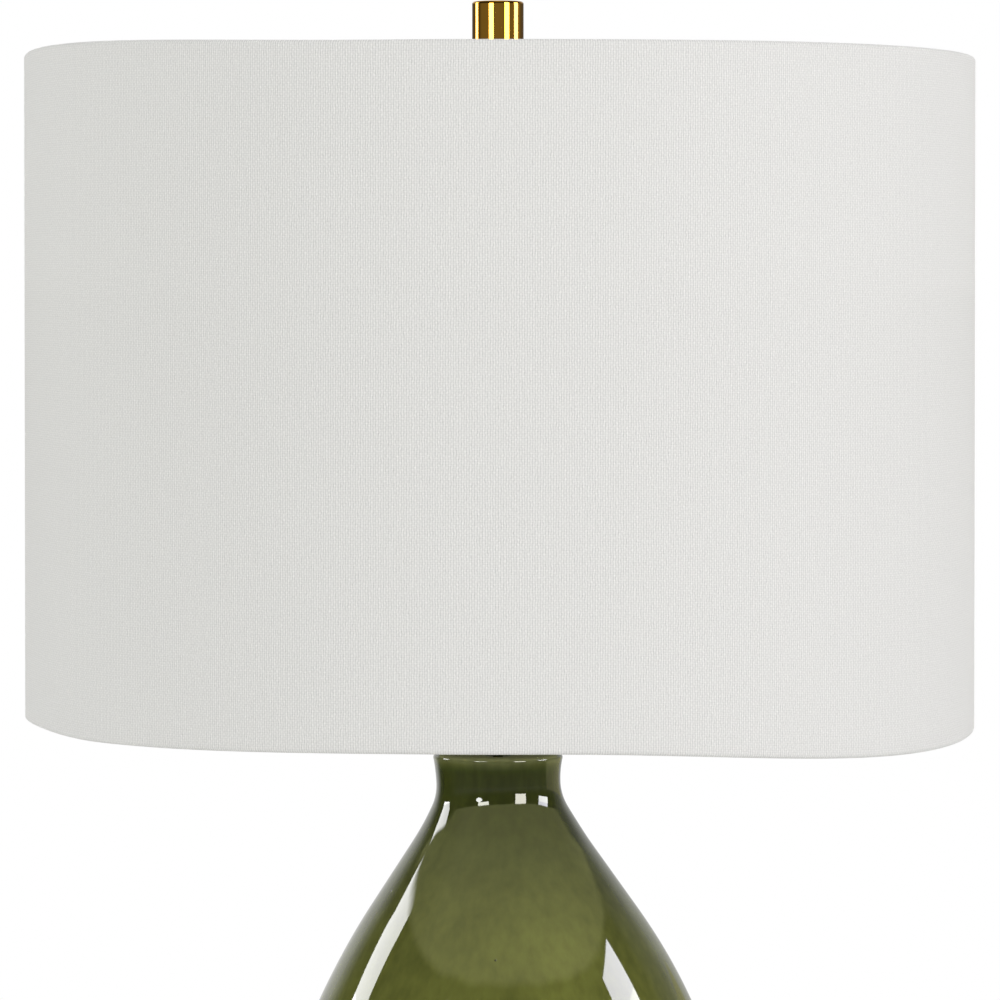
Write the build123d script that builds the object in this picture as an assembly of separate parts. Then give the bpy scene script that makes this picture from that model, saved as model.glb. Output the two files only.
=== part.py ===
from build123d import *

import os
from math import acos, degrees, radians, sin, sqrt

# Gourd table lamp: a glazed ceramic gourd on a brass plinth, with a harp that carries a
# linen drum shade. The lamp's axis is Z and it stands on the XY plane, with its front
# towards -Y. Every length is in millimetres.

# Overall sizes
overall_height = 635.0
shade_diameter = 406.0
shade_height = 285.0
finial_above_shade = 24.8
harp_size = 279.4
neck_waist_height = 300.5
neck_waist_radius = 26.65

# Standard hardware: lamp pipe, harp thread and the medium screw of bulb and lampholder
pipe_radius = 5.1
pipe_bore_radius = 3.3
pipe_hole_radius = 5.3
nut_across_flats = 14.3
nut_thickness = 4.0
nut_chamfer = 0.6
washer_radius = 12.0
washer_thickness = 1.2
pipe_below_nut = 4.8
pipe_in_cap = 1.0
stud_radius = 3.1
stud_length = 14.0
bulb_screw_radius = 13.0
screw_gap = 0.35
screw_head_radius = 2.6
screw_head_height = 1.7
screw_head_chamfer = 0.4
screw_slot_width = 0.7
screw_slot_depth = 0.7

# Plinth and what closes it from below
base_radius = 60.0
base_rim_height = 1.2
base_top_height = 22.0
base_wall = 1.5
base_edge_round = 2.5
felt_radius = 57.4
felt_thickness = 2.0
cover_thickness = 2.0
gasket_thickness = 1.0
grommet_height = 11.5
grommet_bore_radius = 3.3
grommet_body_radius = 4.8
grommet_flange_radius = 6.5
grommet_flange = 1.4
grommet_tail = 3.0

# Ceramic body: arcs down its outline as radius and turn in degrees, from the neck's waist
flare_arc = (21.6, 27.7)
shoulder_hollow_arc = (173.0, 6.6)
shoulder_straight = 31.0
shoulder_arc = (281.0, 8.3)
belly_arc = (190.0, 26.0)
lower_belly_arc = (150.0, 28.0)
heel_arc = (80.0, 28.0)
neck_rise_arc = (50.5, 12.0)
lip_edge_arc = (1.6, 45.0)
lip_top_radius = 9.05
ceramic_wall = 5.0
ceramic_hole_radius = 7.0
foot_ring_width = 7.0
foot_recess = 3.0

# Neck collar, saddle and nut
neck_gasket_thickness = 0.8
neck_gasket_inset = 1.0
collar_radius = 11.8
collar_edge_round = 0.8
saddle_thickness = 1.6
saddle_width = 12.0
saddle_bend_radius = 3.0
saddle_shoulder = 8.0
ear_width = 5.0
ear_height = 24.0

# Harp: its wire, the half-widths of its outline at heights above the saddle, its sleeves
harp_wire_radius = 1.8
harp_leg_x = 27.0
harp_wide_x = 55.0
ear_gap = 0.3
harp_leg_bottom = 5.4
harp_leg_top = 56.0
harp_wide_low = 118.0
harp_wide_high = 205.0
harp_top_x = 26.0
harp_bend_radius = 60.0
harp_top_bend_radius = 24.0
eye_radius = 6.5
eye_thickness = 4.0
eye_edge_round = 0.8
ferrule_length = 20.0
ferrule_inner_radius = 4.1
ferrule_wall = 0.7
ferrule_edge_round = 0.5
stud_shank_radius = 2.4
stud_shank_gap = 0.05
stud_flange_radius = 7.5
stud_flange = 1.2
stud_head_radius = 3.8
stud_head = 1.4
stud_chamfer = 0.5
part_gap = 0.2

# Lampholder
cap_radius = 16.6
cap_wall = 0.8
cap_neck_radius = 7.4
cap_neck_height = 8.0
cap_bowl_height = 17.0
cap_bowl_round = 6.0
cap_screw_radius = 1.6
cap_screw_shaft = 4.3
cap_screw_gap = 0.05
shell_wall = 0.6
shell_bead = 0.8
shell_height = 46.0
shell_overlap = 5.0
sleeve_wall = 0.7
sleeve_below_shell = 3.0
block_radius = 13.6
block_skirt_radius = 10.4
block_skirt_wall = 1.8
block_skirt_height = 8.0
block_height = 29.0
knob_height_in_block = 20.7
terminal_pocket_bottom = 9.0
terminal_pocket_depth = 2.0
terminal_pocket_width = 9.0
terminal_pocket_height = 8.0
screw_shell_wall = 0.5
screw_shell_height = 24.0
screw_shell_hole = 8.5
contact_lift = 2.4
contact_foot = 7.0
contact_bend = 3.0
contact_tip = 3.5
contact_tip_gap = 0.1
contact_thickness = 0.4
contact_width = 5.0

# Turn switch
spindle_radius = 2.0
spindle_hole_gap = 0.06
spindle_depth = 8.0
spindle_end_gap = 0.3
knob_start = 17.5
knob_length = 12.0
knob_radius = 5.6
knob_edge_round = 1.0
knob_hole_depth = 6.0
knob_flutes = 16
knob_flute_radius = 0.7
knob_flute_offset = 0.15
knob_plain_end = 1.5
shell_window_gap = 0.6

# Bulb
bulb_length = 108.0
bulb_radius = 30.0
bulb_neck_radius = 13.8
bulb_hollow_radius = 60.0
bulb_glass_wall = 0.8
bulb_screw_height = 17.0
bulb_thread_pitch = 3.6
bulb_thread_depth = 0.8
bulb_ridges = 4
bulb_tip_height = 6.0
bulb_contact_radius = 4.5
bulb_contact_height = 1.5
bulb_contact_round = 0.8
bulb_cup_radius = 10.0
bulb_cup_floor = 1.0
bulb_cup_hole = 7.0

# Shade
fabric_thickness = 0.4
liner_thickness = 0.4
ring_wire_radius = 1.3
ring_gap = 0.05
hem_slack = 0.3
hem_depth = 9.0
hub_radius = 12.5
hub_thickness = 2.0
hub_hole_radius = 3.5
arm_radius = 1.5
arm_count = 3
first_arm_angle = 90.0
arm_level_run = 4.0
arm_drop_radius = 38.0
arm_bend_radius = 12.0
snip_gap = 0.3

# Finial
finial_radius = 11.0
finial_height = 32.0
finial_edge_round = 1.2
finial_thread_gap = 0.15
finial_thread_depth = 16.0

# Heights that follow from those sizes
shade_top = overall_height - finial_above_shade
shade_bottom = shade_top - shade_height
hub_top = overall_height - finial_height
harp_seat = hub_top - hub_thickness
saddle_bottom = harp_seat - harp_size
saddle_top = saddle_bottom + saddle_thickness
rise_angle = radians(neck_rise_arc[1])
lip_start_height = neck_waist_height + neck_rise_arc[0] * sin(rise_angle)
lip_slope = radians(lip_edge_arc[1]) - rise_angle
lip_edge_height = lip_start_height + lip_edge_arc[0] * (sin(lip_slope) + sin(rise_angle))
neck_top = lip_edge_height + lip_top_radius * (1 - sin(lip_slope))
foot_bottom = base_top_height + gasket_thickness
collar_bottom = neck_top + neck_gasket_thickness
cap_bottom = saddle_top + nut_thickness
cap_bowl_bottom = cap_bottom + cap_neck_height
cap_top = cap_bowl_bottom + cap_bowl_height
shell_bottom = cap_top - shell_overlap
shell_radius = cap_radius - cap_wall
block_bottom = cap_bowl_bottom + cap_wall
block_top = block_bottom + block_height
screw_shell_inner_radius = bulb_screw_radius + screw_gap
bulb_bottom = block_top + contact_lift
harp_eye_bottom = harp_seat - stud_flange - part_gap - eye_thickness
ring_depth = fabric_thickness + hem_slack + ring_wire_radius
knob_axis_height = block_bottom + knob_height_in_block
base_nut_bottom = base_top_height - base_wall - washer_thickness - nut_thickness
pipe_bottom = base_nut_bottom - pipe_below_nut
pipe_top = cap_bowl_bottom + pipe_in_cap
liner_radius = shade_diameter / 2 - fabric_thickness
ring_radius = liner_radius - liner_thickness - ring_gap - ring_wire_radius

# Shapes that stand on their own lower face
STANDING = (Align.CENTER, Align.CENTER, Align.MIN)


def turned(outline):
    """A solid of revolution about Z from a closed outline of (radius, height) edges."""
    return revolve(Plane.XZ * make_face(outline), Axis.Z)


def ring(inner, outer, bottom, top):
    """A plain ring or tube about Z."""
    return turned(Polyline((inner, bottom), (outer, bottom), (outer, top), (inner, top), close=True))


def wire_ring(radius, wire_radius, height):
    """A round wire bent to a closed ring about Z."""
    return Pos(0, 0, height) * Torus(radius, wire_radius)


def standing_rod(radius, height, bottom=0.0):
    """A cylinder about Z that stands on the given height."""
    return Pos(0, 0, bottom) * Cylinder(radius, height, align=STANDING)


def hexagon_nut(bottom):
    """A nut on the lamp pipe, with its corners turned off at both ends."""
    corner_radius = nut_across_flats / sqrt(3)
    blank = chamfer(standing_rod(corner_radius, nut_thickness).edges(), nut_chamfer)
    nut = extrude(RegularPolygon(corner_radius, 6), nut_thickness) & blank
    return Pos(0, 0, bottom) * (nut - standing_rod(pipe_hole_radius, nut_thickness))


def slotted_head(radius, height):
    """A round screw head on its own underside, with a straight slot across its top."""
    head = standing_rod(radius, height)
    head = chamfer(head.edges().group_by(Axis.Z)[-1], screw_head_chamfer)
    slot = Box(3 * radius, screw_slot_width, height, align=STANDING)
    return head - Pos(0, 0, height - screw_slot_depth) * slot


# The plinth
def brass_base():
    inner_radius = base_radius - base_wall
    inner_round = base_edge_round - base_wall
    shoulder = base_top_height - base_edge_round
    outline = Polyline(
        (pipe_hole_radius, base_top_height),
        (pipe_hole_radius, base_top_height - base_wall),
        (inner_radius - inner_round, base_top_height - base_wall),
    )
    outline += RadiusArc(
        (inner_radius - inner_round, base_top_height - base_wall), (inner_radius, shoulder), inner_round
    )
    outline += Polyline(
        (inner_radius, shoulder),
        (inner_radius, base_rim_height),
        (base_radius, base_rim_height),
        (base_radius, shoulder),
    )
    outline += RadiusArc(
        (base_radius, shoulder), (base_radius - base_edge_round, base_top_height), -base_edge_round
    )
    outline += Line((base_radius - base_edge_round, base_top_height), (pipe_hole_radius, base_top_height))
    inlet = Pos(0, base_radius, grommet_height) * Rot(90, 0, 0) * Cylinder(grommet_body_radius, 4 * base_wall)
    return turned(outline) - inlet


def base_felt():
    return standing_rod(felt_radius, felt_thickness)


def base_cover():
    return standing_rod(base_radius - base_wall, cover_thickness, felt_thickness)


def cord_grommet():
    """A flanged bush whose bore is the cord's inlet; its tail stands inside the plinth."""
    outer = base_radius + grommet_flange
    inner = base_radius - base_wall - grommet_tail
    return revolve(
        Plane.YZ * make_face(
            Polyline(
                (inner, grommet_height + grommet_bore_radius),
                (outer, grommet_height + grommet_bore_radius),
                (outer, grommet_height + grommet_flange_radius),
                (base_radius, grommet_height + grommet_flange_radius),
                (base_radius, grommet_height + grommet_body_radius),
                (inner, grommet_height + grommet_body_radius),
                close=True,
            )
        ),
        Axis((0, 0, grommet_height), (0, 1, 0)),
    )


def base_washer():
    top = base_top_height - base_wall
    return ring(pipe_hole_radius, washer_radius, top - washer_thickness, top)


def base_nut():
    return hexagon_nut(base_nut_bottom)


def lamp_pipe():
    return ring(pipe_bore_radius, pipe_radius, pipe_bottom, pipe_top)


def foot_gasket():
    return ring(foot_radius() - foot_ring_width, foot_radius(), base_top_height, foot_bottom)


# The ceramic body
def gourd_outline(wall):
    """The arcs of the gourd from its waist down to its heel, moved inwards by wall."""
    arc = JernArc((neck_waist_radius - wall, neck_waist_height), (0, -1), flare_arc[0] + wall, flare_arc[1])
    arcs = [arc]
    arcs.append(JernArc(arc @ 1, arc % 1, shoulder_hollow_arc[0] + wall, shoulder_hollow_arc[1]))
    arcs.append(Line(arcs[-1] @ 1, (arcs[-1] @ 1) + (arcs[-1] % 1) * shoulder_straight))
    for radius, turn in (shoulder_arc, belly_arc, lower_belly_arc, heel_arc):
        arcs.append(JernArc(arcs[-1] @ 1, arcs[-1] % 1, radius - wall, -turn))
    return arcs


def foot_radius():
    return (gourd_outline(0)[-1] @ 1).X


def ceramic_body():
    outside = gourd_outline(0)
    inside = gourd_outline(ceramic_wall)
    heel = outside[-1] @ 1
    floor = inside[-1] @ 1
    rise = JernArc(outside[0] @ 0, (0, 1), neck_rise_arc[0], -neck_rise_arc[1])
    edge = JernArc(rise @ 1, rise % 1, *lip_edge_arc)
    lip = JernArc(edge @ 1, edge % 1, lip_top_radius, 90 + neck_rise_arc[1] - lip_edge_arc[1])
    inner_top = neck_top - ceramic_wall
    outline = Curve() + outside + inside + [rise, edge, lip]
    outline += Polyline(
        lip @ 1,
        (ceramic_hole_radius, neck_top),
        (ceramic_hole_radius, inner_top),
        (neck_waist_radius - ceramic_wall, inner_top),
        (neck_waist_radius - ceramic_wall, neck_waist_height),
    )
    outline += Polyline(
        heel,
        (heel.X, foot_bottom),
        (heel.X - foot_ring_width, foot_bottom),
        (heel.X - foot_ring_width, foot_bottom + foot_recess),
        (ceramic_hole_radius, foot_bottom + foot_recess),
        (ceramic_hole_radius, floor.Y),
        floor,
    )
    return turned(outline)


# Collar, saddle and nut at the neck
def neck_gasket():
    return ring(pipe_hole_radius, collar_radius - neck_gasket_inset, neck_top, collar_bottom)


def neck_collar():
    height = saddle_bottom - collar_bottom
    collar = standing_rod(collar_radius, height, collar_bottom)
    collar = fillet(collar.edges().filter_by(GeomType.CIRCLE), collar_edge_round)
    return collar - standing_rod(pipe_hole_radius, height, collar_bottom)


def harp_saddle():
    """A strip bent up at both ends, each end narrowed to an ear beside the harp's leg."""
    ear_outside = harp_leg_x - harp_wire_radius - ear_gap
    ear_top = saddle_bottom + ear_height
    strip = FilletPolyline(
        (-ear_outside, ear_top),
        (-ear_outside, saddle_bottom),
        (ear_outside, saddle_bottom),
        (ear_outside, ear_top),
        radius=saddle_bend_radius + saddle_thickness,
    )
    inner = ear_outside - saddle_thickness
    strip += Line((ear_outside, ear_top), (inner, ear_top))
    strip += FilletPolyline(
        (inner, ear_top),
        (inner, saddle_top),
        (-inner, saddle_top),
        (-inner, ear_top),
        radius=saddle_bend_radius,
    )
    strip += Line((-inner, ear_top), (-ear_outside, ear_top))
    saddle = extrude(Plane.XZ * make_face(strip), saddle_width / 2, both=True)
    shoulder_height = saddle_bottom + saddle_shoulder
    for side in (-1, 1):
        offcut_width = saddle_width / 2
        offcut_y = side * (ear_width + offcut_width) / 2
        offcut = Box(3 * harp_leg_x, offcut_width, ear_height, align=STANDING)
        saddle -= Pos(0, offcut_y, shoulder_height) * offcut
    return saddle - standing_rod(pipe_hole_radius, saddle_thickness, saddle_bottom)


def saddle_nut():
    return hexagon_nut(saddle_top)


# Lampholder
def socket_cap():
    """A turned cup with a threaded neck; the outer shell pushes into its mouth."""
    inner = cap_radius - cap_wall
    flat_radius = cap_radius - cap_bowl_round
    round_centre = cap_bowl_bottom + cap_bowl_round
    outline = Polyline(
        (pipe_hole_radius, cap_bottom),
        (cap_neck_radius, cap_bottom),
        (cap_neck_radius, cap_bowl_bottom),
        (flat_radius, cap_bowl_bottom),
    )
    outline += RadiusArc((flat_radius, cap_bowl_bottom), (cap_radius, round_centre), -cap_bowl_round)
    outline += Polyline(
        (cap_radius, round_centre),
        (cap_radius, cap_top),
        (inner, cap_top),
        (inner, round_centre),
    )
    inner_floor = cap_bowl_bottom + cap_wall
    outline += RadiusArc((inner, round_centre), (flat_radius, inner_floor), cap_bowl_round - cap_wall)
    outline += Polyline(
        (flat_radius, inner_floor),
        (pipe_hole_radius, inner_floor),
        (pipe_hole_radius, cap_bottom),
    )
    return turned(outline) - cap_screw_hole()


def cap_screw_hole():
    middle = cap_bottom + cap_neck_height / 2
    return Pos(0, pipe_radius, middle) * Rot(-90, 0, 0) * standing_rod(cap_screw_radius, cap_neck_radius)


def cap_screw():
    """The small screw at the back of the cap's neck that locks it to the pipe."""
    middle = cap_bottom + cap_neck_height / 2
    screw = standing_rod(cap_screw_radius, cap_screw_shaft)
    screw += Pos(0, 0, cap_screw_shaft) * slotted_head(screw_head_radius, screw_head_height)
    return Pos(0, pipe_radius + cap_screw_gap, middle) * Rot(-90, 0, 0) * screw


def socket_shell():
    bottom = shell_bottom
    top = shell_bottom + shell_height
    inner = shell_radius - shell_wall
    bead_bottom = top - 2 * shell_bead
    bead_crest = (shell_radius + shell_bead, top - shell_bead)
    outline = Polyline((inner, bottom), (shell_radius, bottom), (shell_radius, bead_bottom))
    outline += ThreePointArc((shell_radius, bead_bottom), bead_crest, (shell_radius, top))
    outline += Polyline((shell_radius, top), (inner, top), (inner, bottom))
    return turned(outline) - spindle_window(spindle_radius + shell_window_gap)


def socket_sleeve():
    outer = shell_radius - shell_wall
    top = shell_bottom + shell_height - sleeve_below_shell
    sleeve = ring(outer - sleeve_wall, outer, shell_bottom, top)
    return sleeve - spindle_window(spindle_radius + shell_window_gap)


def spindle_window(radius):
    """A hole towards the front at the switch's height."""
    return Pos(0, 0, knob_axis_height) * Rot(90, 0, 0) * standing_rod(radius, 3 * shell_radius)


def socket_block():
    """The moulded block: a skirt on the cap's floor, two terminals, the switch's bearing."""
    skirt_top = block_bottom + block_skirt_height
    top = block_bottom + block_height
    skirt_inner = block_skirt_radius - block_skirt_wall
    block = turned(
        Polyline(
            (skirt_inner, block_bottom),
            (block_skirt_radius, block_bottom),
            (block_skirt_radius, skirt_top),
            (block_radius, skirt_top + block_radius - block_skirt_radius),
            (block_radius, top),
            (0, top),
            (0, skirt_top),
            (skirt_inner, skirt_top),
            close=True,
        )
    )
    pocket_size = (2 * terminal_pocket_depth, terminal_pocket_width, terminal_pocket_height)
    for side in (-1, 1):
        place = Pos(side * block_radius, 0, block_bottom + terminal_pocket_bottom)
        block -= place * Box(*pocket_size, align=STANDING)
    bearing = standing_rod(spindle_radius + spindle_hole_gap, block_radius)
    bearing_start = block_radius - spindle_depth - spindle_end_gap
    return block - Pos(0, -bearing_start, knob_axis_height) * Rot(90, 0, 0) * bearing


def terminal_screws():
    """One binding screw on each side of the block."""
    seat = block_radius - terminal_pocket_depth
    height = block_bottom + terminal_pocket_bottom + terminal_pocket_height / 2
    screws = []
    for side in (-1, 1):
        head = slotted_head(screw_head_radius, screw_head_height)
        screws.append(Pos(side * seat, 0, height) * Rot(0, side * 90, 0) * head)
    return Compound(children=screws)


def centre_contact():
    """A brass leaf fixed to the block's top and bent up under the bulb's tip."""
    tip_height = block_top + contact_lift - contact_tip_gap
    leaf = Polyline(
        (-contact_foot, block_top),
        (-contact_bend, block_top),
        (contact_tip, tip_height - contact_thickness),
        (contact_tip, tip_height),
        (-contact_bend, block_top + contact_thickness),
        (-contact_foot, block_top + contact_thickness),
        close=True,
    )
    return extrude(Plane.XZ * make_face(leaf), contact_width / 2, both=True)


def screw_shell():
    """The thread shell, with a turned-in flange screwed down on the block."""
    inner = screw_shell_inner_radius
    outer = inner + screw_shell_wall
    top = block_top + screw_shell_height
    return turned(
        Polyline(
            (screw_shell_hole, block_top),
            (outer, block_top),
            (outer, top),
            (inner, top),
            (inner, block_top + screw_shell_wall),
            (screw_shell_hole, block_top + screw_shell_wall),
            close=True,
        )
    )


# Turn switch
def switch_spindle():
    inner_end = block_radius - spindle_depth
    spindle = standing_rod(spindle_radius, knob_start + knob_hole_depth - inner_end)
    return Pos(0, -inner_end, knob_axis_height) * Rot(90, 0, 0) * spindle


def switch_knob():
    """A fluted knob, with a blind hole pressed over the spindle's end."""
    knob = standing_rod(knob_radius, knob_length)
    knob = fillet(knob.edges().group_by(Axis.Z)[-1], knob_edge_round)
    knob -= standing_rod(spindle_radius, knob_hole_depth)
    flute = standing_rod(knob_flute_radius, knob_length - knob_plain_end)
    for place in PolarLocations(knob_radius + knob_flute_offset, knob_flutes):
        knob -= place * flute
    return Pos(0, -knob_start, knob_axis_height) * Rot(90, 0, 0) * knob


# Bulb
def bulb_glass():
    """A pear-shaped envelope: a ball that runs down into the neck through a hollow arc."""
    screw_top = bulb_bottom + bulb_tip_height + bulb_screw_height
    ball_centre = bulb_bottom + bulb_length - bulb_radius
    hollow_turn = degrees(
        acos((bulb_neck_radius + bulb_hollow_radius) / (bulb_radius + bulb_hollow_radius))
    )
    outline = Curve()
    ends = []
    for inset in (0, bulb_glass_wall):
        ball_radius = bulb_radius - inset
        ball = JernArc((0, ball_centre + ball_radius), (1, 0), ball_radius, -90 - hollow_turn)
        hollow = JernArc(ball @ 1, ball % 1, bulb_hollow_radius + inset, hollow_turn)
        stem = Line(hollow @ 1, (bulb_neck_radius - inset, screw_top))
        outline += [ball, hollow, stem]
        ends += [ball @ 0, stem @ 1]
    outline += [Line(ends[0], ends[2]), Line(ends[1], ends[3])]
    return turned(outline)


def bulb_screw():
    """The rolled thread cup: rounded ridges at the thread's pitch, flared to the glass."""
    bottom = bulb_bottom + bulb_tip_height
    top = bottom + bulb_screw_height
    root = bulb_screw_radius - bulb_thread_depth
    floor_top = bottom + bulb_cup_floor
    outline = Polyline((bulb_cup_hole, bottom), (root, bottom))
    for ridge in range(bulb_ridges):
        low = bottom + ridge * bulb_thread_pitch
        high = low + bulb_thread_pitch
        outline += ThreePointArc((root, low), (bulb_screw_radius, (low + high) / 2), (root, high))
    outline += Polyline(
        (root, bottom + bulb_ridges * bulb_thread_pitch),
        (bulb_neck_radius, top),
        (bulb_cup_radius, top),
        (bulb_cup_radius, floor_top),
        (bulb_cup_hole, floor_top),
        (bulb_cup_hole, bottom),
    )
    return turned(outline)


def bulb_insulator():
    low = bulb_bottom + bulb_contact_height
    high = bulb_bottom + bulb_tip_height
    return turned(
        Polyline((0, low), (bulb_contact_radius, low), (bulb_cup_radius, high), (0, high), close=True)
    )


def bulb_contact():
    contact = standing_rod(bulb_contact_radius, bulb_contact_height, bulb_bottom)
    return fillet(contact.edges().group_by(Axis.Z)[0], bulb_contact_round)


# Harp
def harp_wire():
    """One wire: two straight legs, a wide bow, and a top flattened to a pierced eye."""
    eye_middle = harp_eye_bottom + eye_thickness / 2
    points = [
        (-harp_leg_x, saddle_bottom + harp_leg_bottom),
        (-harp_leg_x, saddle_bottom + harp_leg_top),
        (-harp_wide_x, saddle_bottom + harp_wide_low),
        (-harp_wide_x, saddle_bottom + harp_wide_high),
        (-harp_top_x, eye_middle),
    ]
    mirrored = [(-x, z) for x, z in reversed(points)]
    bends = [harp_bend_radius / 2, harp_bend_radius, harp_bend_radius, harp_top_bend_radius]
    path = Plane.XZ * FilletPolyline(*points, *mirrored, radius=bends + bends[::-1])
    wire = sweep(Plane(path @ 0, z_dir=path % 0) * Circle(harp_wire_radius), path=path)
    eye = standing_rod(eye_radius, eye_thickness, harp_eye_bottom)
    eye = fillet(eye.edges().filter_by(GeomType.CIRCLE), eye_edge_round)
    return wire + eye - standing_rod(stud_shank_radius + stud_shank_gap, eye_thickness, harp_eye_bottom)


def harp_ferrule(side):
    """A sleeve round the harp's leg and the saddle's ear, standing on the saddle's shoulder."""
    ear_inside = harp_leg_x - harp_wire_radius - ear_gap - saddle_thickness
    centre = (ear_inside + harp_leg_x + harp_wire_radius) / 2
    bottom = saddle_bottom + saddle_shoulder + part_gap
    sleeve = standing_rod(ferrule_inner_radius + ferrule_wall, ferrule_length)
    sleeve = fillet(sleeve.edges().group_by(Axis.Z)[-1], ferrule_edge_round)
    sleeve -= standing_rod(ferrule_inner_radius, ferrule_length)
    return Pos(side * centre, 0, bottom) * sleeve


def harp_stud():
    """The swivelling stud: riveted head, shank in the harp's eye, flange and thread."""
    flange_bottom = harp_seat - stud_flange
    head_top = harp_eye_bottom - part_gap
    stud = turned(
        Polyline(
            (0, head_top - stud_head),
            (stud_head_radius, head_top - stud_head),
            (stud_head_radius, head_top),
            (stud_shank_radius, head_top),
            (stud_shank_radius, flange_bottom),
            (stud_flange_radius, flange_bottom),
            (stud_flange_radius, harp_seat),
            (stud_radius, harp_seat),
            (stud_radius, harp_seat + stud_length),
            (0, harp_seat + stud_length),
            close=True,
        )
    )
    return chamfer(stud.edges().group_by(Axis.Z)[-1], stud_chamfer)


# Shade
def spider_hub():
    return ring(hub_hole_radius, hub_radius, harp_seat, hub_top)


def spider_arms():
    """Wires that run level from the top ring and drop to the hub near the middle."""
    ring_height = shade_top - ring_depth
    hub_height = harp_seat + hub_thickness / 2
    line = FilletPolyline(
        (hub_hole_radius, hub_height),
        (hub_radius + arm_level_run, hub_height),
        (arm_drop_radius, ring_height),
        (ring_radius, ring_height),
        radius=arm_bend_radius,
    )
    path = Plane.XZ * line
    arm = sweep(Plane(path @ 0, z_dir=path % 0) * Circle(arm_radius), path=path)
    arm -= wire_ring(ring_radius, ring_wire_radius, ring_height)
    arm -= standing_rod(hub_radius, 3 * hub_thickness, harp_seat - hub_thickness)
    arm = max(arm.solids(), key=lambda solid: solid.volume)
    return Compound(children=[Rot(0, 0, turn) * arm for turn in arm_angles()])


def arm_angles():
    return [first_arm_angle + i * 360.0 / arm_count for i in range(arm_count)]


def shade_top_ring():
    return wire_ring(ring_radius, ring_wire_radius, shade_top - ring_depth)


def shade_bottom_ring():
    return wire_ring(ring_radius, ring_wire_radius, shade_bottom + ring_depth)


def shade_liner():
    inner = liner_radius - liner_thickness
    return ring(inner, liner_radius, shade_bottom + ring_depth, shade_top - ring_depth)


def shade_fabric():
    """Linen round the liner, turned over the wire at both edges and down inside."""
    outer = shade_diameter / 2
    hem_inner = ring_radius - ring_wire_radius - ring_gap - fabric_thickness
    fold = (outer - hem_inner) / 2
    middle = (outer + hem_inner) / 2
    fold_top = shade_top - fold
    fold_bottom = shade_bottom + fold
    thin = fold - fabric_thickness
    hem_top = shade_top - hem_depth
    hem_bottom = shade_bottom + hem_depth
    outline = Line((outer, fold_bottom), (outer, fold_top))
    outline += ThreePointArc((outer, fold_top), (middle, shade_top), (hem_inner, fold_top))
    outline += Polyline(
        (hem_inner, fold_top),
        (hem_inner, hem_top),
        (middle - thin, hem_top),
        (middle - thin, fold_top),
    )
    outline += ThreePointArc((middle - thin, fold_top), (middle, fold_top + thin), (middle + thin, fold_top))
    outline += Line((middle + thin, fold_top), (middle + thin, fold_bottom))
    outline += ThreePointArc(
        (middle + thin, fold_bottom), (middle, fold_bottom - thin), (middle - thin, fold_bottom)
    )
    outline += Polyline(
        (middle - thin, fold_bottom),
        (middle - thin, hem_bottom),
        (hem_inner, hem_bottom),
        (hem_inner, fold_bottom),
    )
    outline += ThreePointArc((hem_inner, fold_bottom), (middle, shade_bottom), (outer, fold_bottom))
    fabric = turned(outline)
    # The hem is snipped open below the end of each arm.
    snip_width = 2 * arm_radius + 2 * snip_gap
    snip_top = shade_top - ring_depth + arm_radius + snip_gap
    snip = Box(2 * fold, snip_width, snip_top - hem_top + snip_gap)
    snip_middle = (snip_top + hem_top - snip_gap) / 2
    for turn in arm_angles():
        fabric -= Rot(0, 0, turn) * Pos(hem_inner, 0, snip_middle) * snip
    return fabric


# Finial
def finial():
    body = standing_rod(finial_radius, finial_height, hub_top)
    body = fillet(body.edges().filter_by(GeomType.CIRCLE), finial_edge_round)
    return body - standing_rod(stud_radius + finial_thread_gap, finial_thread_depth, hub_top)


parts = {
    "base_felt": base_felt(),
    "base_cover": base_cover(),
    "brass_base": brass_base(),
    "cord_grommet": cord_grommet(),
    "base_washer": base_washer(),
    "base_nut": base_nut(),
    "lamp_pipe": lamp_pipe(),
    "foot_gasket": foot_gasket(),
    "ceramic_body": ceramic_body(),
    "neck_gasket": neck_gasket(),
    "neck_collar": neck_collar(),
    "harp_saddle": harp_saddle(),
    "saddle_nut": saddle_nut(),
    "socket_cap": socket_cap(),
    "cap_screw": cap_screw(),
    "socket_block": socket_block(),
    "terminal_screws": terminal_screws(),
    "centre_contact": centre_contact(),
    "screw_shell": screw_shell(),
    "socket_sleeve": socket_sleeve(),
    "socket_shell": socket_shell(),
    "switch_spindle": switch_spindle(),
    "switch_knob": switch_knob(),
    "bulb_glass": bulb_glass(),
    "bulb_screw": bulb_screw(),
    "bulb_insulator": bulb_insulator(),
    "bulb_contact": bulb_contact(),
    "harp_wire": harp_wire(),
    "harp_ferrule_left": harp_ferrule(-1),
    "harp_ferrule_right": harp_ferrule(1),
    "harp_stud": harp_stud(),
    "spider_hub": spider_hub(),
    "spider_arms": spider_arms(),
    "shade_top_ring": shade_top_ring(),
    "shade_bottom_ring": shade_bottom_ring(),
    "shade_liner": shade_liner(),
    "shade_fabric": shade_fabric(),
    "finial": finial(),
}

os.makedirs("parts", exist_ok=True)
for name, shape in parts.items():
    export_step(shape, f"parts/{name}.step")
print("neck top", round(neck_top, 2), "foot radius", round(foot_radius(), 2))
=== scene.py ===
# %% [markdown]
# A gourd table lamp
# The lamp is a glazed ceramic gourd on a brass plinth. A wire harp stands on the gourd's neck
# and carries a linen drum shade, which a brass finial holds down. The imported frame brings
# every piece at its real size and place, in metres, with Z up and the front towards -Y. What
# is left to do here is what the eye sees: the glaze, the cloth, the metals and the light.

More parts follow.
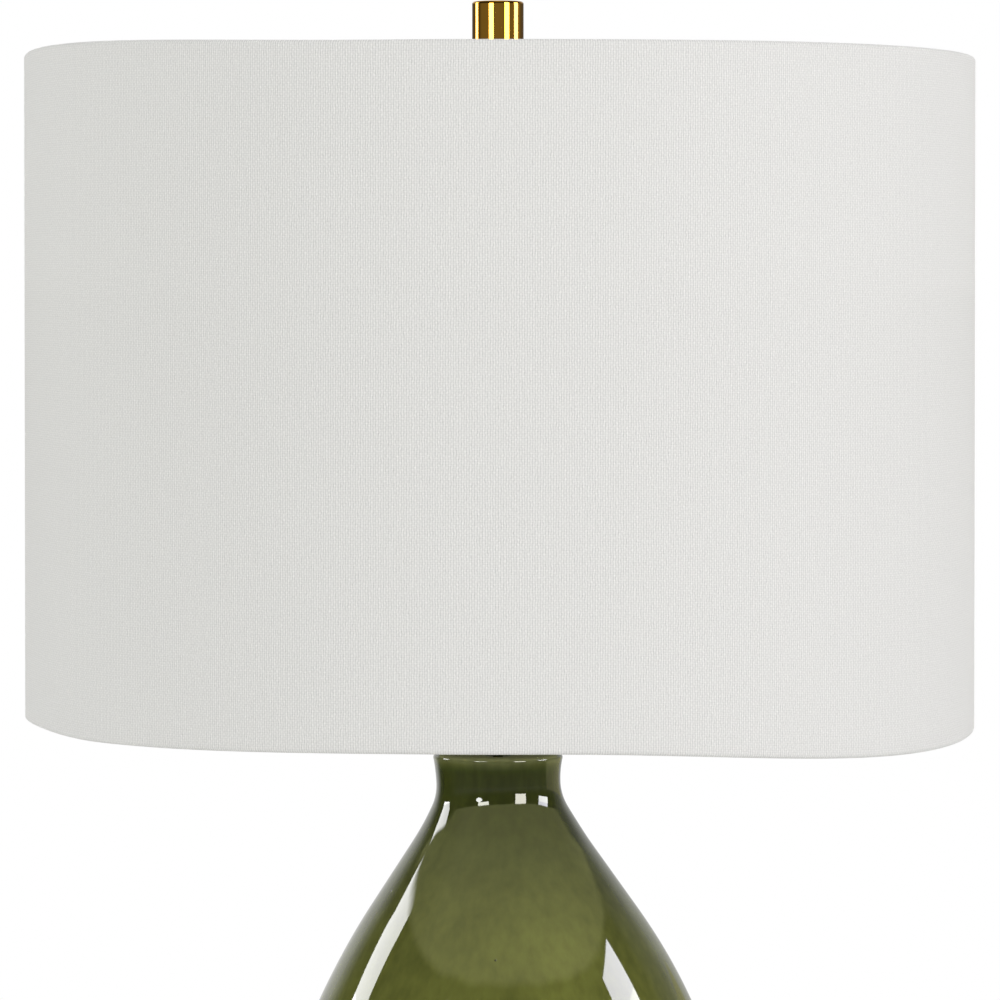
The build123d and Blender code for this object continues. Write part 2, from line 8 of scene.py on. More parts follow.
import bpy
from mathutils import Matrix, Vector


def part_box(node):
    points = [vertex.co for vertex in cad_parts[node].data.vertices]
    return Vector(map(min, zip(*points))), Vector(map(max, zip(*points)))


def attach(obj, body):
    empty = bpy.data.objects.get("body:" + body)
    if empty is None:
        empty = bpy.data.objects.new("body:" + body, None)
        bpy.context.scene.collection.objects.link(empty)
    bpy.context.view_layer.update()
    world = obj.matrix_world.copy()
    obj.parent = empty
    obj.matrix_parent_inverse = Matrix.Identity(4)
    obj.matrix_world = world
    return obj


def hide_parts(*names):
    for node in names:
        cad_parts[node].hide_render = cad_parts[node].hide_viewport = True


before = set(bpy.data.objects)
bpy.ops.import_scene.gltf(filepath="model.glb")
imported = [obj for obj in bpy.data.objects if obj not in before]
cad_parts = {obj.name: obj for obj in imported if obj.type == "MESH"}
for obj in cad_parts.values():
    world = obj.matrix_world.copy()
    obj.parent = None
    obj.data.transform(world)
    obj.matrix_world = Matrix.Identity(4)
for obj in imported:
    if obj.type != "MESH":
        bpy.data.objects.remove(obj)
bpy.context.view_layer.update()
print("pieces in the frame:", len(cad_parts))

# %% Tools and units
from math import atan2, ceil, copysign, cos, degrees, hypot, pi, radians, sin

import bmesh
import bpy
from mathutils import Vector

MM = 0.001
scene = bpy.context.scene
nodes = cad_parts

# %% [markdown]
# Colours and nodes
# A colour picked from a screen is stored in sRGB, and Blender mixes light in linear values, so
# one function turns the one into the other. A second one fills the sockets of a node with
# values or links, and a third adds any node, sets what it is told and fills it. With them a
# material reads as a list of what it is made of.


# %% Colour and node helpers
def linear(hex_colour):
    """The linear red, green, blue and alpha of an sRGB colour such as #8A5A20."""
    levels = [int(hex_colour[i : i + 2], 16) / 255 for i in (1, 3, 5)]
    return [v / 12.92 if v <= 0.04045 else ((v + 0.055) / 1.055) ** 2.4 for v in levels] + [1.0]


def fill(tree, node, sockets):
    """Fills sockets, by key or in their order. A node given stands for its first output."""
    for key, value in sockets.items() if isinstance(sockets, dict) else enumerate(sockets):
        if isinstance(value, bpy.types.Node):
            value = value.outputs[0]
        if isinstance(value, bpy.types.NodeSocket):
            tree.links.new(value, node.inputs[key])
        else:
            node.inputs[key].default_value = value


def add(tree, kind, sockets=(), **settings):
    """Adds a node, sets its options, and fills its sockets with values or with links."""
    node = tree.nodes.new(kind)
    for name, value in settings.items():
        setattr(node, name, value)
    fill(tree, node, sockets)
    return node


def new_finish(name, **sockets):
    """A material with its principled shader set: underscores stand for the spaces in names."""
    material = bpy.data.materials.new(name)
    material.use_nodes = True
    tree = material.node_tree
    shader = tree.nodes["Principled BSDF"]
    fill(tree, shader, {key.replace("_", " "): value for key, value in sockets.items()})
    return material, tree, shader


def link_object(name, mesh):
    """An object for a mesh, linked to the scene."""
    piece = bpy.data.objects.new(name, mesh)
    scene.collection.objects.link(piece)
    return piece


# %% [markdown]
# The camera
# The photograph looks almost level at the shade from a little under three metres, with a long
# lens, so the drum's rims are flat arcs and its sides stay upright. The lens is worked out from
# the angle that the picture covers, and the picture's lower edge crops the gourd at its belly.

# %% Camera
camera_aside = 0.0009
camera_distance = 2.842
camera_height = 0.4945
camera_pitch = 1.468
camera_lens = 238.8
sensor_width = 36.0

camera_data = bpy.data.cameras.new("camera")
camera_data.lens = camera_lens
camera_data.sensor_width = sensor_width
camera = link_object("camera", camera_data)
camera.location = (camera_aside, -camera_distance, camera_height)
camera.rotation_euler = (radians(90 - camera_pitch), 0, 0)
scene.camera = camera
print("camera at", tuple(round(v, 3) for v in camera.location))

# %% [markdown]
# Floor, background and daylight
# The lamp stands on a pale floor in front of a white backdrop. The floor keeps the lamp's soft
# shadow near its foot and brightens to plain white further out, so it meets the backdrop with
# no line. The world lights everything evenly. Only rays from the camera see it as white all
# round: mirror-like rays see a studio, white behind the lamp, dark in front and softly bright
# overhead, because that is what the glaze and the brass reflect.

# %% Floor
floor_radius = 30.0
floor_sides = 96
floor_shadow_radius = 0.55
floor_white_radius = 1.7
floor_colour = "#F4F4F2"

floor_material, tree, shader = new_finish(
    "pale_floor", Base_Color=linear(floor_colour), Roughness=0.9
)
coordinates = add(tree, "ShaderNodeTexCoord")
distance = add(tree, "ShaderNodeVectorMath", [coordinates.outputs["Object"]], operation="LENGTH")
whiter = add(
    tree,
    "ShaderNodeMapRange",
    [distance.outputs["Value"], floor_shadow_radius, floor_white_radius],
    interpolation_type="SMOOTHSTEP",
)
rays = add(tree, "ShaderNodeLightPath").outputs
seen = add(tree, "ShaderNodeMath", [rays["Is Camera Ray"], rays["Is Glossy Ray"]])
seen = add(tree, "ShaderNodeMath", [seen, rays["Is Transmission Ray"]], use_clamp=True)
share = add(tree, "ShaderNodeMath", [whiter, seen], operation="MULTIPLY")
white = add(tree, "ShaderNodeEmission", {"Color": (1, 1, 1, 1), "Strength": 1.0})
mixed = add(tree, "ShaderNodeMixShader", [share, shader, white])
fill(tree, tree.nodes["Material Output"], {"Surface": mixed})

floor_mesh = bpy.data.meshes.new("floor")
builder = bmesh.new()
bmesh.ops.create_circle(builder, cap_ends=True, segments=floor_sides, radius=floor_radius)
builder.to_mesh(floor_mesh)
builder.free()
floor_mesh.materials.append(floor_material)
floor = link_object("floor", floor_mesh)
floor.visible_glossy = False
print("floor white from", floor_white_radius, "m")

# %% What mirror rays find
# The backdrop by the angle from the front in degrees, on the left and on the right
studio_left = {0: 0.045, 98: 0.045, 104: 0.0, 122: 0.02, 133: 0.08, 149: 0.85, 180: 0.85}
studio_right = {
    0: 0.045,
    102: 0.045,
    107: 0.03,
    118: 0.06,
    123: 0.16,
    138: 0.26,
    152: 0.60,
    180: 0.62,
}
# A glow by height, as the sine of the angle above level
studio_level = {
    -1: 0.1,
    -0.5: 0.12,
    -0.42: 0.2,
    -0.34: 0.06,
    -0.25: 0.12,
    -0.12: 0.14,
    0.0: 0.2,
    0.03: 0.25,
    0.06: 0.25,
    0.12: 0.16,
    0.26: 0.03,
    0.88: 0.03,
    0.96: 0.45,
}
# and the share of that glow which each side keeps
glow_left = {0: 1.0, 78: 0.9, 96: 0.25, 104: 0.1, 180: 0.1}
glow_right = {0: 1.0, 80: 0.9, 88: 0.6, 100: 0.7, 118: 1.0, 134: 2.2, 180: 2.2}


def stepped(tree, value, stops, low, high, colour=lambda v: (v, v, v, 1)):
    """A ramp between named values: stops gives the value or colour wanted at each input."""
    level = add(tree, "ShaderNodeMapRange", [value, low, high])
    ramp = add(tree, "ShaderNodeValToRGB", [level])
    elements = ramp.color_ramp.elements
    while len(elements) < len(stops):
        elements.new(0.5)
    for element, (at, wanted) in zip(elements, sorted(stops.items())):
        element.position = (at - low) / (high - low)
        element.color = colour(wanted)
    return ramp.outputs[0]


# %% World
daylight = 0.676

world = bpy.data.worlds.new("studio")
world.use_nodes = True
scene.world = world
tree = world.node_tree
direction = add(tree, "ShaderNodeTexCoord").outputs["Generated"]
part = add(tree, "ShaderNodeSeparateXYZ", [direction])
level_part = add(tree, "ShaderNodeVectorMath", [direction, (1, 1, 0)], operation="MULTIPLY")
level_part = add(tree, "ShaderNodeVectorMath", [level_part], operation="NORMALIZE")
cosine = add(tree, "ShaderNodeVectorMath", [level_part, (0, -1, 0)], operation="DOT_PRODUCT")
from_front = add(tree, "ShaderNodeMath", [cosine.outputs["Value"]], operation="ARCCOSINE")
from_front = add(tree, "ShaderNodeMath", [from_front], operation="DEGREES")
to_right = add(tree, "ShaderNodeMath", [part.outputs["X"], 0.0], operation="GREATER_THAN")
by_side = []
for left, right in ((studio_left, studio_right), (glow_left, glow_right)):
    sides = {
        0: to_right,
        6: stepped(tree, from_front, left, 0, 180),
        7: stepped(tree, from_front, right, 0, 180),
    }
    by_side.append(add(tree, "ShaderNodeMix", sides, data_type="RGBA").outputs[2])
behind, glow_share = by_side
glow = stepped(tree, part.outputs["Z"], studio_level, -1, 1)
glow = add(tree, "ShaderNodeMath", [glow_share, glow], operation="MULTIPLY")
studio = add(tree, "ShaderNodeMath", [behind, glow], operation="MAXIMUM")
rays = add(tree, "ShaderNodeLightPath").outputs
straight = [rays["Is Camera Ray"], rays["Is Transmission Ray"]]
straight = add(tree, "ShaderNodeMath", straight, operation="MAXIMUM")
plain = add(tree, "ShaderNodeMapRange", {0: straight, 3: daylight, 4: 1.0})
choice = {0: rays["Is Glossy Ray"], 2: plain, 3: studio}
strength = add(tree, "ShaderNodeMix", choice, data_type="FLOAT")
fill(tree, tree.nodes["Background"], {"Color": (1, 1, 1, 1), "Strength": strength})
print("daylight", daylight)

# %% [markdown]
# Lamps and reflector panels
# One large soft lamp stands to the right of the camera, which is why the shade is lightest
# towards its right edge, and two weaker ones lift the front and the left. They would also show
# in the glaze as shapes of their own, so they are hidden from mirror rays. What the glaze and
# the finial do show is a row of tall bright panels round the set. They are planes that only
# mirror rays can see, so they draw crisp highlights and add no light to the cloth.

# %% Lamps
lamp_distance = 3.0
lamp_size = 1.6
# name: azimuth, elevation, light on a surface that faces it as a share of white, and colour
soft_lamps = {
    "key_lamp": (50.0, 18.0, 0.300, (1.0, 0.975, 1.02)),
    "front_lamp": (-16.0, 10.0, 0.0605, (1.0, 1.0, 1.0)),
    "fill_lamp": (-70.0, 2.0, 0.177, (1.0, 1.0, 1.0)),
}
lamp_target = Vector((0, 0, 0.42))


def around(azimuth, distance, height):
    """A point at an azimuth in degrees, counted from the front, -Y, towards +X."""
    angle = radians(azimuth)
    return Vector((distance * sin(angle), -distance * cos(angle), height))


for name, (azimuth, elevation, share, lamp_colour) in soft_lamps.items():
    lamp_data = bpy.data.lights.new(name, "AREA")
    lamp_data.size = lamp_size
    lamp_data.color = lamp_colour
    # A square lamp of this many watts lights what faces it, at this distance, by the share
    lamp_data.energy = share * pi * pi * lamp_distance**2
    lamp = link_object(name, lamp_data)
    run = lamp_distance * cos(radians(elevation))
    lamp.location = lamp_target + around(azimuth, run, lamp_distance * sin(radians(elevation)))
    lamp.rotation_euler = (lamp_target - lamp.location).to_track_quat("-Z", "Y").to_euler()
    lamp.visible_glossy = False
    print(name, round(lamp_data.energy, 1), "W")

# %% Reflector panels
# name: distance, strength, colour, and the outline as azimuths and heights. Each panel with a
# foot is brighter there: the foot is what the finial shows
panels = {
    "panel_left": (1.24, 8.2, "#FFFFFF", (
        (-116.8, 0.70), (-118.2, 0.75), (-121, 0.88), (-121.8, 1.2),
        (-104, 1.2), (-103, 1.06), (-102.8, 0.90), (-101.6, 0.70),
    )),
    "panel_left_foot": (1.24, 12.5, "#FFFFFF", (
        (-115.3, 0.60), (-116.8, 0.70), (-101.6, 0.70), (-101.3, 0.66),
    )),
    "panel_front_left": (0.65, 14.0, "#FFFFF4", (
        (-39, 0.625), (-41.5, 0.755), (-20.5, 0.755), (-19.5, 0.625),
    )),
    "panel_front_right": (1.50, 13.0, "#FFFBF0", (
        (31, 0.66), (31, 1.42), (53, 1.42), (51, 0.66),
    )),
    "panel_right": (1.25, 10.4, "#F5F4FF", (
        (79.3, 0.90), (79.5, 1.19), (101, 1.19), (100.7, 0.90),
    )),
    "panel_right_foot": (1.25, 12.5, "#FFFFFF", (
        (79, 0.665), (79.3, 0.90), (100.7, 0.90), (100.5, 0.665),
    )),
    "warm_corner": (1.20, 0.56, "#FAF4C8", (
        (100, -0.30), (100, 0.42), (150, 0.42), (150, -0.30),
    )),
}


def mirror_card(name, corners, strength, colour="#FFFFFF", faces=None):
    """A bright card that only mirror rays see: one face round its corners, or those given."""
    mesh = bpy.data.meshes.new(name)
    mesh.from_pydata([tuple(c) for c in corners], [], faces or [list(range(len(corners)))])
    card = link_object(name, mesh)
    material = bpy.data.materials.new(name)
    material.use_nodes = True
    material.cycles.emission_sampling = "NONE"
    tree = material.node_tree
    tree.nodes.remove(tree.nodes["Principled BSDF"])
    light = add(tree, "ShaderNodeEmission", {"Color": linear(colour), "Strength": strength})
    fill(tree, tree.nodes["Material Output"], {"Surface": light})
    mesh.materials.append(material)
    for ray in ("camera", "diffuse", "transmission", "volume_scatter", "shadow"):
        setattr(card, "visible_" + ray, False)
    return card


for name, (distance, strength, colour, edge) in panels.items():
    corners = [around(azimuth, distance, height) for azimuth, height in edge]
    mirror_card(name, corners, strength, colour)
print("panels", len(panels))

# %% The round reflector under the front left panel
round_azimuth, round_distance, round_height, round_radius = -37.0, 0.65, 0.563, 0.062
round_strength = 16.0
round_sides = 48

round_middle = around(round_azimuth, round_distance, round_height)
across = around(round_azimuth + 90, 1.0, 0)
up = Vector((0, 0, 1))
rim = []
for side in range(round_sides):
    angle = 2 * pi * side / round_sides
    rim.append(round_middle + round_radius * (cos(angle) * across + sin(angle) * up))
mirror_card("round_reflector", rim, round_strength)
print("round reflector", round(2000 * round_radius), "mm across")

# %% [markdown]
# The shade's underside in the glaze
# From close by, the glaze mirrors the pale, faintly yellow-green underside of the shade. The
# real drum would hide every panel from the glaze, so it is kept out of the mirror rays further
# down, and a flat card stands in for its underside. The card's outline follows the edge that
# the photograph shows. It is dimmer at the sides, and its edge is soft, so the brightness is
# kept in a colour attribute, with the alpha running out at the edge.

# %% The card's reach in metres, by direction
underside_height = 0.51
underside_strength = 1.0
underside_colour = "#F6F6B9"
underside_reach = {
    0: 0.3195,
    25: 0.329,
    48: 0.343,
    65: 0.356,
    82: 0.364,
    98: 0.371,
    112: 0.408,
    122: 0.455,
    135: 0.55,
    180: 0.60,
    225: 0.53,
    238: 0.480,
    241: 0.445,
    243: 0.430,
    246: 0.424,
    251: 0.402,
    254: 0.388,
    259: 0.373,
    263: 0.366,
    278: 0.352,
    294: 0.343,
    311: 0.338,
    336: 0.328,
}
# Its brightness by direction, and in the middle, and how far its edge fades either way
underside_glow = {
    0: 1,
    48: 1,
    75: 0.95,
    98: 0.75,
    180: 0.6,
    246: 0.6,
    263: 0.6,
    278: 0.7,
    294: 0.97,
    311: 1,
    360: 1,
}
underside_middle_glow = 0.95
underside_blur = 0.011
print("reach from", min(underside_reach.values()), "to", max(underside_reach.values()), "m")


# %% The card itself
def between(stops, at):
    """The value at a place between the named ones."""
    keys = sorted(stops)
    after = next(i for i, key in enumerate(keys) if key >= at)
    if after == 0:
        return stops[keys[0]]
    low_key, high_key = keys[after - 1], keys[after]
    share = (at - low_key) / (high_key - low_key)
    return stops[low_key] * (1 - share) + stops[high_key] * share


# An inner and an outer rim, and the middle last: a fan inside and a ring of faces between
count = len(underside_reach)
corners = [
    around(azimuth, reach + step, underside_height)
    for step in (-underside_blur, underside_blur)
    for azimuth, reach in underside_reach.items()
]
corners.append(Vector((0, 0, underside_height)))
ring_faces = [(i, (i + 1) % count, count + (i + 1) % count, count + i) for i in range(count)]
fan_faces = [(2 * count, (i + 1) % count, i) for i in range(count)]
underside = mirror_card(
    "shade_underside", corners, underside_strength, underside_colour, fan_faces + ring_faces
)
glow_map = underside.data.attributes.new("glow", "FLOAT_COLOR", "POINT")
glows = [between(underside_glow, azimuth) for azimuth in underside_reach]
for i, value in enumerate([*glows, *glows, underside_middle_glow]):
    on_outer_rim = count <= i < 2 * count
    glow_map.data[i].color = (value, value, value, 0.0 if on_outer_rim else 1.0)

tree = underside.data.materials[0].node_tree
glow_read = add(tree, "ShaderNodeAttribute", attribute_name="glow").outputs
tint = [linear(underside_colour)[:3], glow_read["Color"]]
tinted = add(tree, "ShaderNodeVectorMath", tint, operation="MULTIPLY")
light = tree.nodes["Emission"]
fill(tree, light, {"Color": tinted})
clear = add(tree, "ShaderNodeBsdfTransparent")
faded = add(tree, "ShaderNodeMixShader", [glow_read["Alpha"], clear, light])
fill(tree, tree.nodes["Material Output"], {"Surface": faded})
print("underside faces", len(underside.data.polygons))

# %% A dark flag behind the finial keeps the white backdrop out of its edges
flag_half_width, flag_back, flag_low, flag_high = 0.36, 0.20, 0.585, 0.668
flag_strength = 0.12

flag_corners = [
    (-flag_half_width, flag_back, flag_low),
    (flag_half_width, flag_back, flag_low),
    (flag_half_width, flag_back, flag_high),
    (-flag_half_width, flag_back, flag_high),
]
mirror_card("flag_behind_finial", flag_corners, flag_strength)
print("flag", 2 * flag_half_width, "m wide")

# %% [markdown]
# Turning on the wheel
# The gourd, like most of a lamp, is a turned shape: one outline carried round an axis. A potter
# or a lathe does that in the real world, and a small Geometry Nodes tree does it here. It lays
# out a flat grid, one row for each point of the outline and one column for each step round the
# axis, and then moves every point of the grid to its place. Made this way, the outline stays a
# list of arcs and straight runs that can be changed, and the tree can add what a hand adds: a
# surface that is never quite even.


# %% Outlines
def heading(degrees_up):
    """A step of one along a direction in degrees, level at 0 and upwards at 90."""
    return Vector((cos(radians(degrees_up)), sin(radians(degrees_up))))


def walk(start, direction, *steps, step_angle=2.0):
    """Outline points in mm. A step is a length straight on, or an arc's radius and its turn."""
    points = [Vector(start)]
    for step in steps:
        if not isinstance(step, tuple):
            points.append(points[-1] + step * heading(direction))
            continue
        radius, turn = step
        to_centre = copysign(radius, turn)
        centre = points[-1] + to_centre * heading(direction + 90)
        count = max(2, ceil(abs(turn) / step_angle))
        for i in range(1, count + 1):
            points.append(centre - to_centre * heading(direction + turn * i / count + 90))
        direction += turn
    return points


def point_ring(name, points):
    """A mesh of single points in the XZ plane, in the outline's order and back to its start."""
    mesh = bpy.data.meshes.new(name)
    mesh.from_pydata([(p[0] * MM, 0.0, p[1] * MM) for p in [*points, points[0]]], [], [])
    return link_object(name, mesh)


# %% Starting and ending a tree
def node_group(name, inputs):
    """An empty Geometry Nodes tree with a geometry in and out and the named inputs."""
    group = bpy.data.node_groups.new(name, "GeometryNodeTree")
    group.interface.new_socket("Geometry", in_out="INPUT", socket_type="NodeSocketGeometry")
    for label, kind in inputs.items():
        group.interface.new_socket(label, in_out="INPUT", socket_type="NodeSocket" + kind)
    group.interface.new_socket("Geometry", in_out="OUTPUT", socket_type="NodeSocketGeometry")
    return group


def close_group(group, geometry, material):
    """Ends a tree: instances made real, the material set, and the result handed out."""
    real = add(group, "GeometryNodeRealizeInstances", [geometry])
    dressed = add(group, "GeometryNodeSetMaterial", {"Geometry": real, "Material": material})
    add(group, "NodeGroupOutput", [dressed])
    print("tree", group.name, "with", len(group.nodes), "nodes")


# %% The turning tree: a grid, and where each of its points reads the outline
turning_inputs = {
    "Segments": "Int",
    "Unevenness": "Float",
    "Uneven Scale": "Float",
    "Material": "Material",
}
turning = node_group("turn_outline", turning_inputs)
given = add(turning, "NodeGroupInput").outputs
outline = given["Geometry"]
row_count = add(turning, "GeometryNodeAttributeDomainSize", {0: outline}).outputs["Point Count"]
columns = add(turning, "ShaderNodeMath", [given["Segments"], 1.0])
grid_size = {"Vertices X": columns, "Vertices Y": row_count}
grid = add(turning, "GeometryNodeMeshGrid", grid_size)
position = add(turning, "GeometryNodeInputPosition")
# The grid is one metre square round the origin: X gives the turn, and Y the row
place = add(turning, "ShaderNodeSeparateXYZ", [position])
turn = add(turning, "ShaderNodeMapRange", [place.outputs["X"], -0.5, 0.5, 0.0, 2 * pi])
along = add(turning, "ShaderNodeMath", [place.outputs["Y"], 0.5])
last_row = add(turning, "ShaderNodeMath", [row_count, 1.0], operation="SUBTRACT")
row = add(turning, "ShaderNodeMath", [along, last_row], operation="MULTIPLY")
row = add(turning, "ShaderNodeMath", [row], operation="ROUND")
reading = {"Geometry": outline, "Value": position, "Index": row}
read = add(turning, "GeometryNodeSampleIndex", reading, data_type="FLOAT_VECTOR")
spin = {"Vector": read, "Angle": turn}
turned = add(turning, "ShaderNodeVectorRotate", spin, rotation_type="Z_AXIS")

# %% The turning tree: unevenness, as soft noise in the round, so it meets itself at the seam
noise_inputs = {"Vector": turned, "Scale": given["Uneven Scale"], "Detail": 1.0}
noise = add(turning, "ShaderNodeTexNoise", noise_inputs)
centred = add(turning, "ShaderNodeMath", [noise, 0.5], operation="SUBTRACT")
swell = add(turning, "ShaderNodeMath", [centred, given["Unevenness"]], operation="MULTIPLY")
sideways = add(turning, "ShaderNodeVectorMath", [turned, (1, 1, 0)], operation="MULTIPLY")
sideways = add(turning, "ShaderNodeVectorMath", [sideways], operation="NORMALIZE")
moved = add(turning, "ShaderNodeVectorMath", {0: sideways, "Scale": swell}, operation="SCALE")
final_place = add(turning, "ShaderNodeVectorMath", [turned, moved])
shaped = add(turning, "GeometryNodeSetPosition", {"Geometry": grid, "Position": final_place})

# %% The turning tree: the seam is welded, and sharp corners stay crisp
weld_distance = 1e-6
crisp_angle = radians(32)

welded = add(turning, "GeometryNodeMergeByDistance", {0: shaped, "Distance": weld_distance})
edge_angle = add(turning, "GeometryNodeInputMeshEdgeAngle")
corner = add(turning, "ShaderNodeMath", [edge_angle, crisp_angle], operation="GREATER_THAN")
rounded = add(turning, "GeometryNodeSetShadeSmooth", {0: welded, "Shade Smooth": True})
corners = {"Geometry": rounded, "Selection": corner, "Shade Smooth": False}
crisp = add(turning, "GeometryNodeSetShadeSmooth", corners, domain="EDGE")
close_group(turning, crisp, given["Material"])


# %% Running a tree
def bake(piece):
    """Keeps what the modifiers made as the piece's own plain mesh, and drops them."""
    bpy.context.view_layer.update()
    evaluated = piece.evaluated_get(bpy.context.evaluated_depsgraph_get())
    piece.data = bpy.data.meshes.new_from_object(evaluated)
    piece.modifiers.clear()
    print(piece.name, "faces", len(piece.data.polygons))


def run_tree(carrier, group, values):
    """Runs a tree with its inputs set on an object, and keeps the result."""
    modifier = carrier.modifiers.new(group.name, "NODES")
    modifier.node_group = group
    for item in group.interface.items_tree:
        if item.in_out == "INPUT" and item.name in values:
            modifier[item.identifier] = values[item.name]
    bake(carrier)
    return carrier


def turn_piece(name, outline, material, segments, **values):
    """A turned solid from its outline in mm, walked with the material on the left."""
    inputs = {"Segments": segments, "Material": material, **values}
    return run_tree(point_ring(name, outline), turning, inputs)


# %% [markdown]
# The olive glaze
# The gourd is covered in a thick transparent glaze, coloured olive with iron and chrome and fired
# to a full gloss. Through it the eye sees the clay, so it looks deep and dark where the glaze has
# gathered, as in the hollow of the neck, and brighter and yellower where it lies thin on the
# belly. Its colour also holds painted light: painted shade at the neck and on the lip's top,
# under the lamp shade, a painted highlight along the lip's edge, and a lighter front right with
# darker sides, where the lamps fall. Its surface is glass: sharp reflections that waver a little
# because the glaze ran while it was hot, and here and there a pinhole left by a bubble.

# %% The glaze's colours
# by height in metres. The neck is dark where the glaze gathers, and darker still with painted
# shade from the lamp shade above. The last few are the lip: a lighter band where the glaze ran
# thin over the edge, with a painted highlight along it, and painted shade on its top.
glaze_and_painted_light_by_height = {
    0.020: "#545A28",
    0.205: "#61652E",
    0.240: "#5C602D",
    0.255: "#575B2C",
    0.272: "#4D5228",
    0.285: "#43481F",
    0.298: "#3E441A",
    0.3055: "#40461D",
    0.3076: "#485024",
    0.3084: "#545A2C",
    0.3093: "#5D6232",
    0.3101: "#686D3D",
    0.3110: "#787C4D",
    0.3116: "#797D51",
    0.3121: "#60643D",
    0.3127: "#24280F",
    0.3165: "#1E220C",
}
glaze_low, glaze_high = 0.02, 0.32
# and painted light round the body, by the angle from the front, to the right: lighter at the
# front right, where the lamps fall, and darker towards the sides
painted_light_by_side = {
    -180: 1.0,
    -60: 1.0,
    -15: 1.0,
    5: 1.08,
    20: 1.24,
    30: 1.20,
    40: 1.04,
    50: 0.92,
    62: 0.90,
    80: 0.95,
    110: 1.0,
    180: 1.0,
}
# which starts under the neck and is full on the belly
painted_light_from, painted_light_full = 0.285, 0.235

glaze, tree, shader = new_finish("olive_glaze", Roughness=0.035, IOR=1.6)
place = add(tree, "ShaderNodeTexCoord").outputs["Object"]
part = add(tree, "ShaderNodeSeparateXYZ", [place]).outputs
# The colour by height holds painted shade at the neck and on the lip's top, and a painted
# highlight along the lip
height_glaze_and_light = stepped(tree, part["Z"], glaze_and_painted_light_by_height, glaze_low, glaze_high, colour=linear)
backward = add(tree, "ShaderNodeMath", [part["Y"], -1.0], operation="MULTIPLY")
side_angle = add(tree, "ShaderNodeMath", [part["X"], backward], operation="ARCTAN2")
side_angle = add(tree, "ShaderNodeMath", [side_angle], operation="DEGREES")
# Painted light: the colour is raised at the front right and lowered towards the sides
painted_light_tone = stepped(tree, side_angle, painted_light_by_side, -180, 180)
low = add(
    tree,
    "ShaderNodeMapRange",
    [part["Z"], painted_light_from, painted_light_full],
    interpolation_type="SMOOTHSTEP",
)
painted_light_share = add(tree, "ShaderNodeMix", {0: low, 6: (1, 1, 1, 1), 7: painted_light_tone}, data_type="RGBA")
glaze_colour = [height_glaze_and_light, painted_light_share.outputs[2]]
glaze_colour = add(tree, "ShaderNodeVectorMath", glaze_colour, operation="MULTIPLY")
print("glaze colours", len(glaze_and_painted_light_by_height), "by height and", len(painted_light_by_side), "by side")

# %% The glaze's clouds, brush streaks, pinholes and ripple
cloud_mm = 35.714
streak_mm = 4.1667
streak_turn, streak_stretch = 0.6, (1, 1, 0.22)
cloud_tones = (0.80, 1.20)
pit_spacing_mm = 19.0
# of a pinhole: its bottom and its rim, as shares of the spacing
pit_bottom, pit_rim = 0.014, 0.034
pit_depth_mm = 0.1
ripple_mm = 16.667
ripple_height_mm = 0.03

clouds = {"Vector": place, "Scale": 1 / (cloud_mm * MM), "Detail": 4.0, "Roughness": 0.6}
clouds = add(tree, "ShaderNodeTexNoise", clouds)
brush = {"Vector": place, "Rotation": (0.0, streak_turn, 0.0), "Scale": streak_stretch}
brush = add(tree, "ShaderNodeMapping", brush)
streaks = {"Vector": brush, "Scale": 1 / (streak_mm * MM), "Detail": 3.0}
streaks = add(tree, "ShaderNodeTexNoise", streaks)
both = add(tree, "ShaderNodeMath", [clouds, streaks])
lighten = add(tree, "ShaderNodeMapRange", [both, 0.7, 1.3, *cloud_tones])
pits = add(tree, "ShaderNodeTexVoronoi", {"Vector": place, "Scale": 1 / (pit_spacing_mm * MM)})
pinhole_depth_and_shade = add(tree, "ShaderNodeMapRange", [pits.outputs["Distance"], pit_bottom, pit_rim])
# Each pinhole is darkened to black at its middle: painted shade in the hole, besides its dent in
# the bump
for tone in (lighten, pinhole_depth_and_shade):
    tones = {0: glaze_colour, "Scale": tone}
    glaze_colour = add(tree, "ShaderNodeVectorMath", tones, operation="SCALE")
ripple = {"Vector": place, "Scale": 1 / (ripple_mm * MM), "Detail": 0.0}
ripple = add(tree, "ShaderNodeTexNoise", ripple)
wavy = add(tree, "ShaderNodeBump", {"Height": ripple, "Distance": ripple_height_mm * MM})
pitted = {"Height": pinhole_depth_and_shade, "Distance": pit_depth_mm * MM, "Normal": wavy}
pitted = add(tree, "ShaderNodeBump", pitted)
fill(tree, shader, {"Base Color": glaze_colour, "Normal": pitted})
print("pinholes every", pit_spacing_mm, "mm")

# %% [markdown]
# The gourd
# A hollow body cast or thrown in one piece: a rolled lip, a short waisted neck, a sloping
# shoulder and a round belly that draws in to a foot. Its outline is a chain of arcs, each
# starting in the direction in which the last one ended, so it has no kinks. Thrown clay is
# never quite true: in the photograph the belly leans a few millimetres to the right of the
# neck, and the turning tree and one last move give it both.

# %% Gourd
# in mm: from the waist down to the foot, and up to the rolled lip
neck_waist = (26.65, 300.5)
below_waist = (
    (21.6, 27.7),
    (173.0, 6.6),
    31.0,
    (281.0, -8.3),
    (190.0, -26.0),
    (150.0, -28.0),
    (80.0, -28.0),
)
above_waist = ((50.5, -12.0), (1.6, 45.0), (9.05, 57.0))
wall = 5.0
pipe_hole = 7.0
foot_width = 7.0
foot_recess = 3.0
gourd_segments = 400
gourd_unevenness = {"Unevenness": 0.0004, "Uneven Scale": 13.0}

